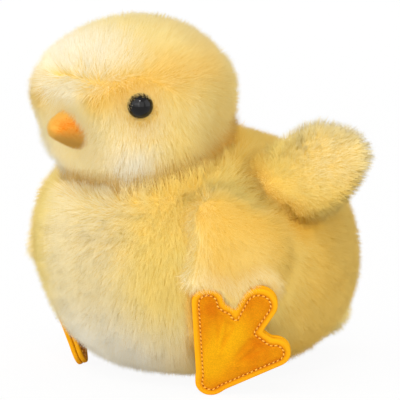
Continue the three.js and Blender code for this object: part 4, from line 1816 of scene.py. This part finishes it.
    def blown(self, flat: Array, faces: Array, inside: Array) -> Array:
        """Blows up a sheet that is held down outside its stitch line, as cloth, at a larger scale.

        Args:
            flat: the sheet's points in the plane.
            faces: its triangles.
            inside: how far inside the outline each point lies.

        Returns:
            How high each point rises.
        """
        dome = self.start_dome * ramp(self.stitch_inset, self.dome_inset, inside)
        points = np.column_stack((flat, dome)) * self.cloth_scale
        sheet = link("sheet_on_trial", mesh_of("sheet_on_trial", points, faces))
        held = sheet.vertex_groups.new(name="held")
        for i, weight in enumerate(ramp(self.stitch_inset + self.held, self.stitch_inset, inside)):
            held.add([i], float(weight), "REPLACE")
        cloth = sheet.modifiers.new("cloth", "CLOTH")
        cloth.collision_settings.use_collision = False
        settings = cloth.settings
        settings.vertex_group_mass = "held"
        settings.effector_weights.gravity = 0.0
        settings.use_pressure = True
        settings.uniform_pressure_force = self.pressure
        settings.quality = self.cloth_quality
        settings.tension_stiffness = settings.compression_stiffness = self.stiffness
        settings.shear_stiffness = self.shear_stiffness
        settings.bending_stiffness = self.bending_stiffness
        cloth.point_cache.frame_start, cloth.point_cache.frame_end = 1, self.cloth_frames
        for number in range(1, self.cloth_frames + 1):
            bpy.context.scene.frame_set(number)
        blown = sheet.evaluated_get(bpy.context.evaluated_depsgraph_get()).data
        height = np.abs(np.array([v.co.z for v in blown.vertices])) / self.cloth_scale
        bpy.context.scene.frame_set(1)
        cleared(sheet)
        return height

    def puffed(self, flat: Array, faces: Array) -> Array:
        """The puff of the sole: a blown sheet, smoothed inside its stitch line and scaled to its height.

        Args:
            flat: the sheet's points in the plane.
            faces: its triangles.

        Returns:
            How high each point rises, at most the puff.
        """
        inside = -self.distance(flat)
        height = self.blown(flat, faces, inside)
        sides = np.vstack((faces[:, :2], faces[:, 1:], faces[:, ::2]))
        sides = np.vstack((sides, sides[:, ::-1]))
        count = np.bincount(sides[:, 0], minlength=len(flat))
        for _ in range(self.puff_rounds):
            around = np.bincount(sides[:, 0], height[sides[:, 1]], len(flat)) / count
            height = np.where(inside > self.stitch_inset + self.held, 0.5 * height + 0.5 * around, height)
        top = max(float(height.max()), 1e-9)
        LOG.info("felt rose %.2f mm under pressure, made %.2f mm", top / MM, self.puff / MM)
        return height * (self.puff / top)

    def sheet(
        self, name: str, outer: bool, flat: Array, faces: Array, count: int, rise: Array
    ) -> bpy.types.Mesh:
        """One sheet of felt as a closed mesh in the left foot's place.

        Args:
            name: the mesh's name.
            outer: whether it is the sole, puffed outwards, or the back.
            flat: its points in the plane.
            faces: its triangles.
            count: how many of the points are on its edge.
            rise: how far the sole's points are puffed.

        Returns:
            The mesh, with attributes for a painted highlight, a paler edge and painted shade at the seam.
        """
        inside = -self.distance(flat)
        groove = self.groove * hump(inside - self.stitch_inset, self.groove_width)
        if outer:
            near = np.full(len(flat), self.thickness - self.felt)
            far = self.thickness + rise - groove + self.crown(inside)
        else:
            near = self.back_groove * groove - self.back_puff * rise
            far = np.full(len(flat), self.felt)
        edge = flat[:count]
        ahead = np.roll(edge, -1, axis=0) - np.roll(edge, 1, axis=0)
        out = unit(np.stack((-ahead[:, 1], ahead[:, 0]), axis=1))
        out *= np.sign(self.distance(edge + out * 0.1 * MM) - self.distance(edge))[:, None]
        rings = []
        for reach, share in self.bevel:
            height = near[:count] + (far[:count] - near[:count]) * share
            rings.append(np.column_stack((edge + out * reach * MM, height)))
        points = np.vstack((np.column_stack((flat, near)), *rings, np.column_stack((flat, far))))
        size, around = len(flat), np.zeros(len(rings) * count)
        last = size + len(around)
        made: list[list[int]] = [list(f)[::-1] for f in faces] + [[last + i for i in f] for f in faces]
        starts = [0, *(size + r * count for r in range(len(rings))), last]
        for a, b in zip(starts, starts[1:]):
            made += [[a + i, a + (i + 1) % count, b + (i + 1) % count, b + i] for i in range(count)]
        axes, origin = self.plane()
        mesh = mesh_of(name, points @ axes.T + origin, made)
        # painted highlight along a bar across the puffed middle of the sole
        ends = (np.array(end) * MM for end in self.warm)
        warm = bar_distance(flat, next(ends), self.warm_radius, next(ends), self.warm_radius)
        warm = hump(np.maximum(warm, 0.0), self.warm_width)
        depth = np.concatenate((inside, around, inside))
        write_attribute(mesh, "glow", np.concatenate((warm, around, warm)))
        write_attribute(mesh, "edge", self.worn_edge(depth))
        seam = hump(depth - self.stitch_inset, self.seam_shade_width)
        write_attribute(mesh, "shade", self.seam_shade * seam)
        return mesh

    def stitch_tree(self) -> bpy.types.NodeTree:
        """The node tree that sews stitches along a line, with dark grains beside them as painted shade in the
        needle holes; its sizes are named inputs.

        Returns:
            The tree, made when first asked for.
        """
        tree = bpy.data.node_groups.get("stitches")
        if tree:
            return tree
        kinds = {"Line": "Geometry", "Pitch": "Float", "Stitch": "Vector", "Hole": "Vector", "Slant": "Float"}
        kinds |= {"Facing": "Vector", "Thread": "Material", "Dark": "Material"}
        made, given = grower("stitches", kinds, "Sewn")
        line = made.out("GeometryNodeMeshToCurve", {"Mesh": given["Line"]})
        even = made.out("GeometryNodeResampleCurve", {"Curve": line, "Length": given["Pitch"]}, mode="LENGTH")
        lined = made.facing(given["Facing"], made.out("GeometryNodeInputTangent"))
        slanted = made.maths("ADD", given["Slant"], made.chance(self.slant_spread, SEED))
        laid = made.tilted(lined, {"Z": slanted})
        half = made.out("ShaderNodeCombineXYZ", {"X": made.maths("MULTIPLY", given["Pitch"], 0.5)})
        sewn = []
        # the holes are dark grains: painted shade in the needle holes
        for size, finish, turn, segments, rings in (
            ("Stitch", "Thread", laid, 8, 4),
            ("Hole", "Dark", lined, 6, 3),
        ):
            inputs = {"Segments": segments, "Rings": rings, "Radius": 1.0}
            grain = made.out("GeometryNodeMeshUVSphere", inputs)
            shaped = made.out("GeometryNodeTransform", {"Geometry": grain, "Scale": given[size]})
            inputs = {"Points": even, "Instance": shaped, "Rotation": turn}
            put = made.out("GeometryNodeInstanceOnPoints", inputs)
            if size == "Hole":
                inputs = {"Instances": put, "Translation": half, "Local Space": True}
                put = made.out("GeometryNodeTranslateInstances", inputs)
            real = made.out("GeometryNodeRealizeInstances", {"Geometry": put})
            sewn.append(made.out("GeometryNodeSetMaterial", {"Geometry": real, "Material": given[finish]}))
        smooth = made.out("GeometryNodeSetShadeSmooth", {"Geometry": made.joined(sewn), "Shade Smooth": True})
        made.add("NodeGroupOutput", {0: smooth})
        return made.tree

    def stitches(self, name: str) -> bpy.types.Mesh:
        """The seam's stitches on the sole and on the back, in the left foot's place.

        Args:
            name: the name of the line that they are sewn along.

        Returns:
            The stitches, and dark grains as painted shade in their needle holes.
        """
        axes, origin = self.plane()
        line = self.loop(self.stitch_inset, self.stitch_line)
        count = len(line)
        points, edges = [], []
        for height in (self.thickness - self.sole_bite, self.back_bite):
            first = len(points) * count
            points.append(np.column_stack((line, np.full(count, height))))
            edges += [(first + i, first + (i + 1) % count) for i in range(count)]
        mesh = bpy.data.meshes.new(name)
        mesh.from_pydata((np.vstack(points) @ axes.T + origin).tolist(), edges, [])
        sockets = {
            "Pitch": self.stitch_pitch, "Stitch": self.stitch, "Hole": self.hole, "Slant": self.slant,
            "Facing": tuple(axes[:, 2]), "Thread": THREAD.material(), "Dark": HOLE_SHADE.material(),
        }
        return grown_mesh(link(name + "_line", mesh), self.stitch_tree(), sockets)

    def in_place(self, mesh: bpy.types.Mesh) -> bpy.types.Mesh:
        """Mirrors a mesh of the left foot for the right one.

        Args:
            mesh: the mesh, which is changed.

        Returns:
            The same mesh.
        """
        if self.side is Side.RIGHT:
            for vertex in mesh.vertices:
                vertex.co.x = -vertex.co.x
            mesh.flip_normals()
        return mesh

    def build(self, rise: Array | None = None) -> Array:
        """Makes the felts, the stitches and the ankle.

        Args:
            rise: the puff found for the other foot, or None to find it.

        Returns:
            The puff, for the other foot.
        """
        flat, faces, count = self.triangles()
        rise = self.puffed(flat, faces) if rise is None else rise
        name = f"foot_{self.side.word}"
        for layer, outer, nodes in (
            ("sole", True, [f"{name}_sole_felt", f"{name}_wadding"]),
            ("back", False, [f"{name}_back_felt"]),
        ):
            mesh = self.in_place(self.sheet(f"{name}_{layer}", outer, flat, faces, count, rise))
            mesh.materials.append(FELT.material())
            piece = link(f"{name}_{layer}", mesh)
            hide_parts(*nodes)
            worn(piece, name)
        seam = self.in_place(self.stitches(f"{name}_stitches"))
        worn(link(f"{name}_stitches", seam), name)
        self.ankle()
        return rise

    def ankle(self) -> None:
        """The short felt stub that carries the foot."""
        node = f"ankle_{self.side.word}"
        skin = Skin([node], middle(node), 5, soften=2)
        piece = link(f"{node}_stub", mesh_of(f"{node}_stub", skin.points, skin.faces))
        piece.data.materials.append(STUB_FELT.material())
        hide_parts(node)
        worn(piece, "body")


# The set


@dataclass(frozen=True)
class Lamp:
    """A square lamp that faces the chick, placed in degrees and metres."""

    name: str
    azimuth: float
    elevation: float
    watts: float
    size: float = 1.4
    distance: float = 1.6


LAMPS = (
    Lamp("key", 14.0, 36.0, 9.7, size=1.5),
    Lamp("front", 56.0, 16.0, 8.8, size=1.5),
    Lamp("low", 20.0, 5.0, 7.2),
    Lamp("left", -40.0, 14.0, 12.0),
    Lamp("fill", 120.0, 22.0, 7.5),
    Lamp("far_side", -115.0, 24.0, 6.0),
    Lamp("back", 200.0, 34.0, 7.0),
    Lamp("catchlight", 44.0, 50.0, 2.2, size=0.14, distance=1.2),
)


@dataclass
class Studio:
    """Camera, lamps, floor and backdrop."""

    azimuth: float = 48.0
    elevation: float = 8.5
    distance: float = 0.95
    target: tuple[float, float, float] = (0.0, -2.33 * MM, 55.6 * MM)
    millimetres_per_pixel: float = 0.3232
    pixels: int = 400
    sensor: float = 36.0
    clip: Pair = (0.01, 50.0)
    sky: float = 0.4
    sky_colour: tuple[float, float, float, float] = (1.0, 0.99, 0.97, 1.0)
    white: tuple[float, float, float, float] = (1.0, 1.0, 1.0, 1.0)
    floor_colour: tuple[float, float, float, float] = (0.86, 0.86, 0.86, 1.0)
    floor_whitened: float = 0.93
    floor_reach: float = 6.0

    def hang(
        self, name: str, data: bpy.types.ID, azimuth: float, elevation: float, distance: float
    ) -> bpy.types.Object:
        """Puts a camera or lamp in the scene, facing the chick.

        Args:
            name: its name.
            data: the camera or lamp.
            azimuth: degrees from the chick's front towards its left.
            elevation: degrees above the floor.
            distance: metres from the chick.

        Returns:
            The object.
        """
        made = link(name, data)
        e = math.radians(elevation)
        back = Vector(outwards(azimuth) * math.cos(e) + UP * math.sin(e))
        made.location = Vector(self.target) + back * distance
        made.rotation_mode = "QUATERNION"
        made.rotation_quaternion = (-back).to_track_quat("-Z", "Y")
        return made

    def camera(self) -> None:
        """Sets the camera at the photograph's angle."""
        data = bpy.data.cameras.new("camera")
        half = self.millimetres_per_pixel * MM * self.pixels / 2
        data.sensor_width = self.sensor
        data.lens = data.sensor_width / 2 * self.distance / half
        data.clip_start, data.clip_end = self.clip
        camera = self.hang("camera", data, self.azimuth, self.elevation, self.distance)
        bpy.context.scene.camera = camera

    def lamps(self) -> None:
        """Hangs the lamps."""
        for lamp in LAMPS:
            data = bpy.data.lights.new(lamp.name, "AREA")
            data.size, data.energy = lamp.size, lamp.watts
            self.hang(lamp.name, data, lamp.azimuth, lamp.elevation, lamp.distance)

    @staticmethod
    def camera_sees(nodes: Nodes) -> Socket:
        """Finds what the camera sees straight, in a mirror or through glass.

        Args:
            nodes: the builder of the tree that asks.

        Returns:
            A socket that is 1 there.
        """
        path = nodes.add("ShaderNodeLightPath").outputs
        seen = nodes.maths("MAXIMUM", path["Is Camera Ray"], path["Is Glossy Ray"])
        return nodes.maths("MAXIMUM", seen, path["Is Transmission Ray"])

    def world(self) -> None:
        """A soft even sky that shows as plain white."""
        world = bpy.data.worlds.new("studio_sky")
        world.use_nodes = True
        bpy.context.scene.world = world
        nodes = Nodes(world.node_tree)
        soft = nodes.out("ShaderNodeBackground", {"Color": self.sky_colour, "Strength": self.sky})
        white = nodes.out("ShaderNodeBackground", {"Color": self.white, "Strength": 1.0})
        mixed = nodes.out("ShaderNodeMixShader", {0: self.camera_sees(nodes), 1: soft, 2: white})
        nodes.add("ShaderNodeOutputWorld", {"Surface": mixed})

    def floor(self) -> None:
        """A plain white floor that keeps a light shadow."""
        reach = self.floor_reach
        points = np.array([(-reach, -reach, 0), (reach, -reach, 0), (reach, reach, 0), (-reach, reach, 0)])
        floor = link("floor", mesh_of("floor", points, [[0, 1, 2, 3]]))
        material = bpy.data.materials.new("floor_white")
        material.use_nodes = True
        nodes = Nodes(material.node_tree)
        plain = nodes.out("ShaderNodeBsdfDiffuse", {"Color": self.floor_colour})
        white = nodes.out("ShaderNodeEmission", {"Color": self.white, "Strength": 1.0})
        share = nodes.maths("MULTIPLY", self.camera_sees(nodes), self.floor_whitened)
        mixed = nodes.out("ShaderNodeMixShader", {0: share, 1: plain, 2: white})
        nodes.add("ShaderNodeOutputMaterial", {"Surface": mixed})
        floor.data.materials.append(material)

    def build(self) -> None:
        """Sets the whole studio."""
        self.camera()
        self.lamps()
        self.world()
        self.floor()
        bpy.context.scene.view_settings.view_transform = "Standard"


def main() -> None:
    """Builds the studio and the chick from the body out."""
    logging.basicConfig(level=logging.INFO, format="%(name)s: %(message)s")
    Studio().build()
    shell = Body().build()
    rise = None
    for side in Side:
        Lobe.thigh(side).build(shell)
        Wing(side).build(shell)
        rise = Foot(side).build(rise)
    Lobe.tail().build(shell)
    Neck().build()
    Head().build(shell)


if __name__ == "__main__":
    main()
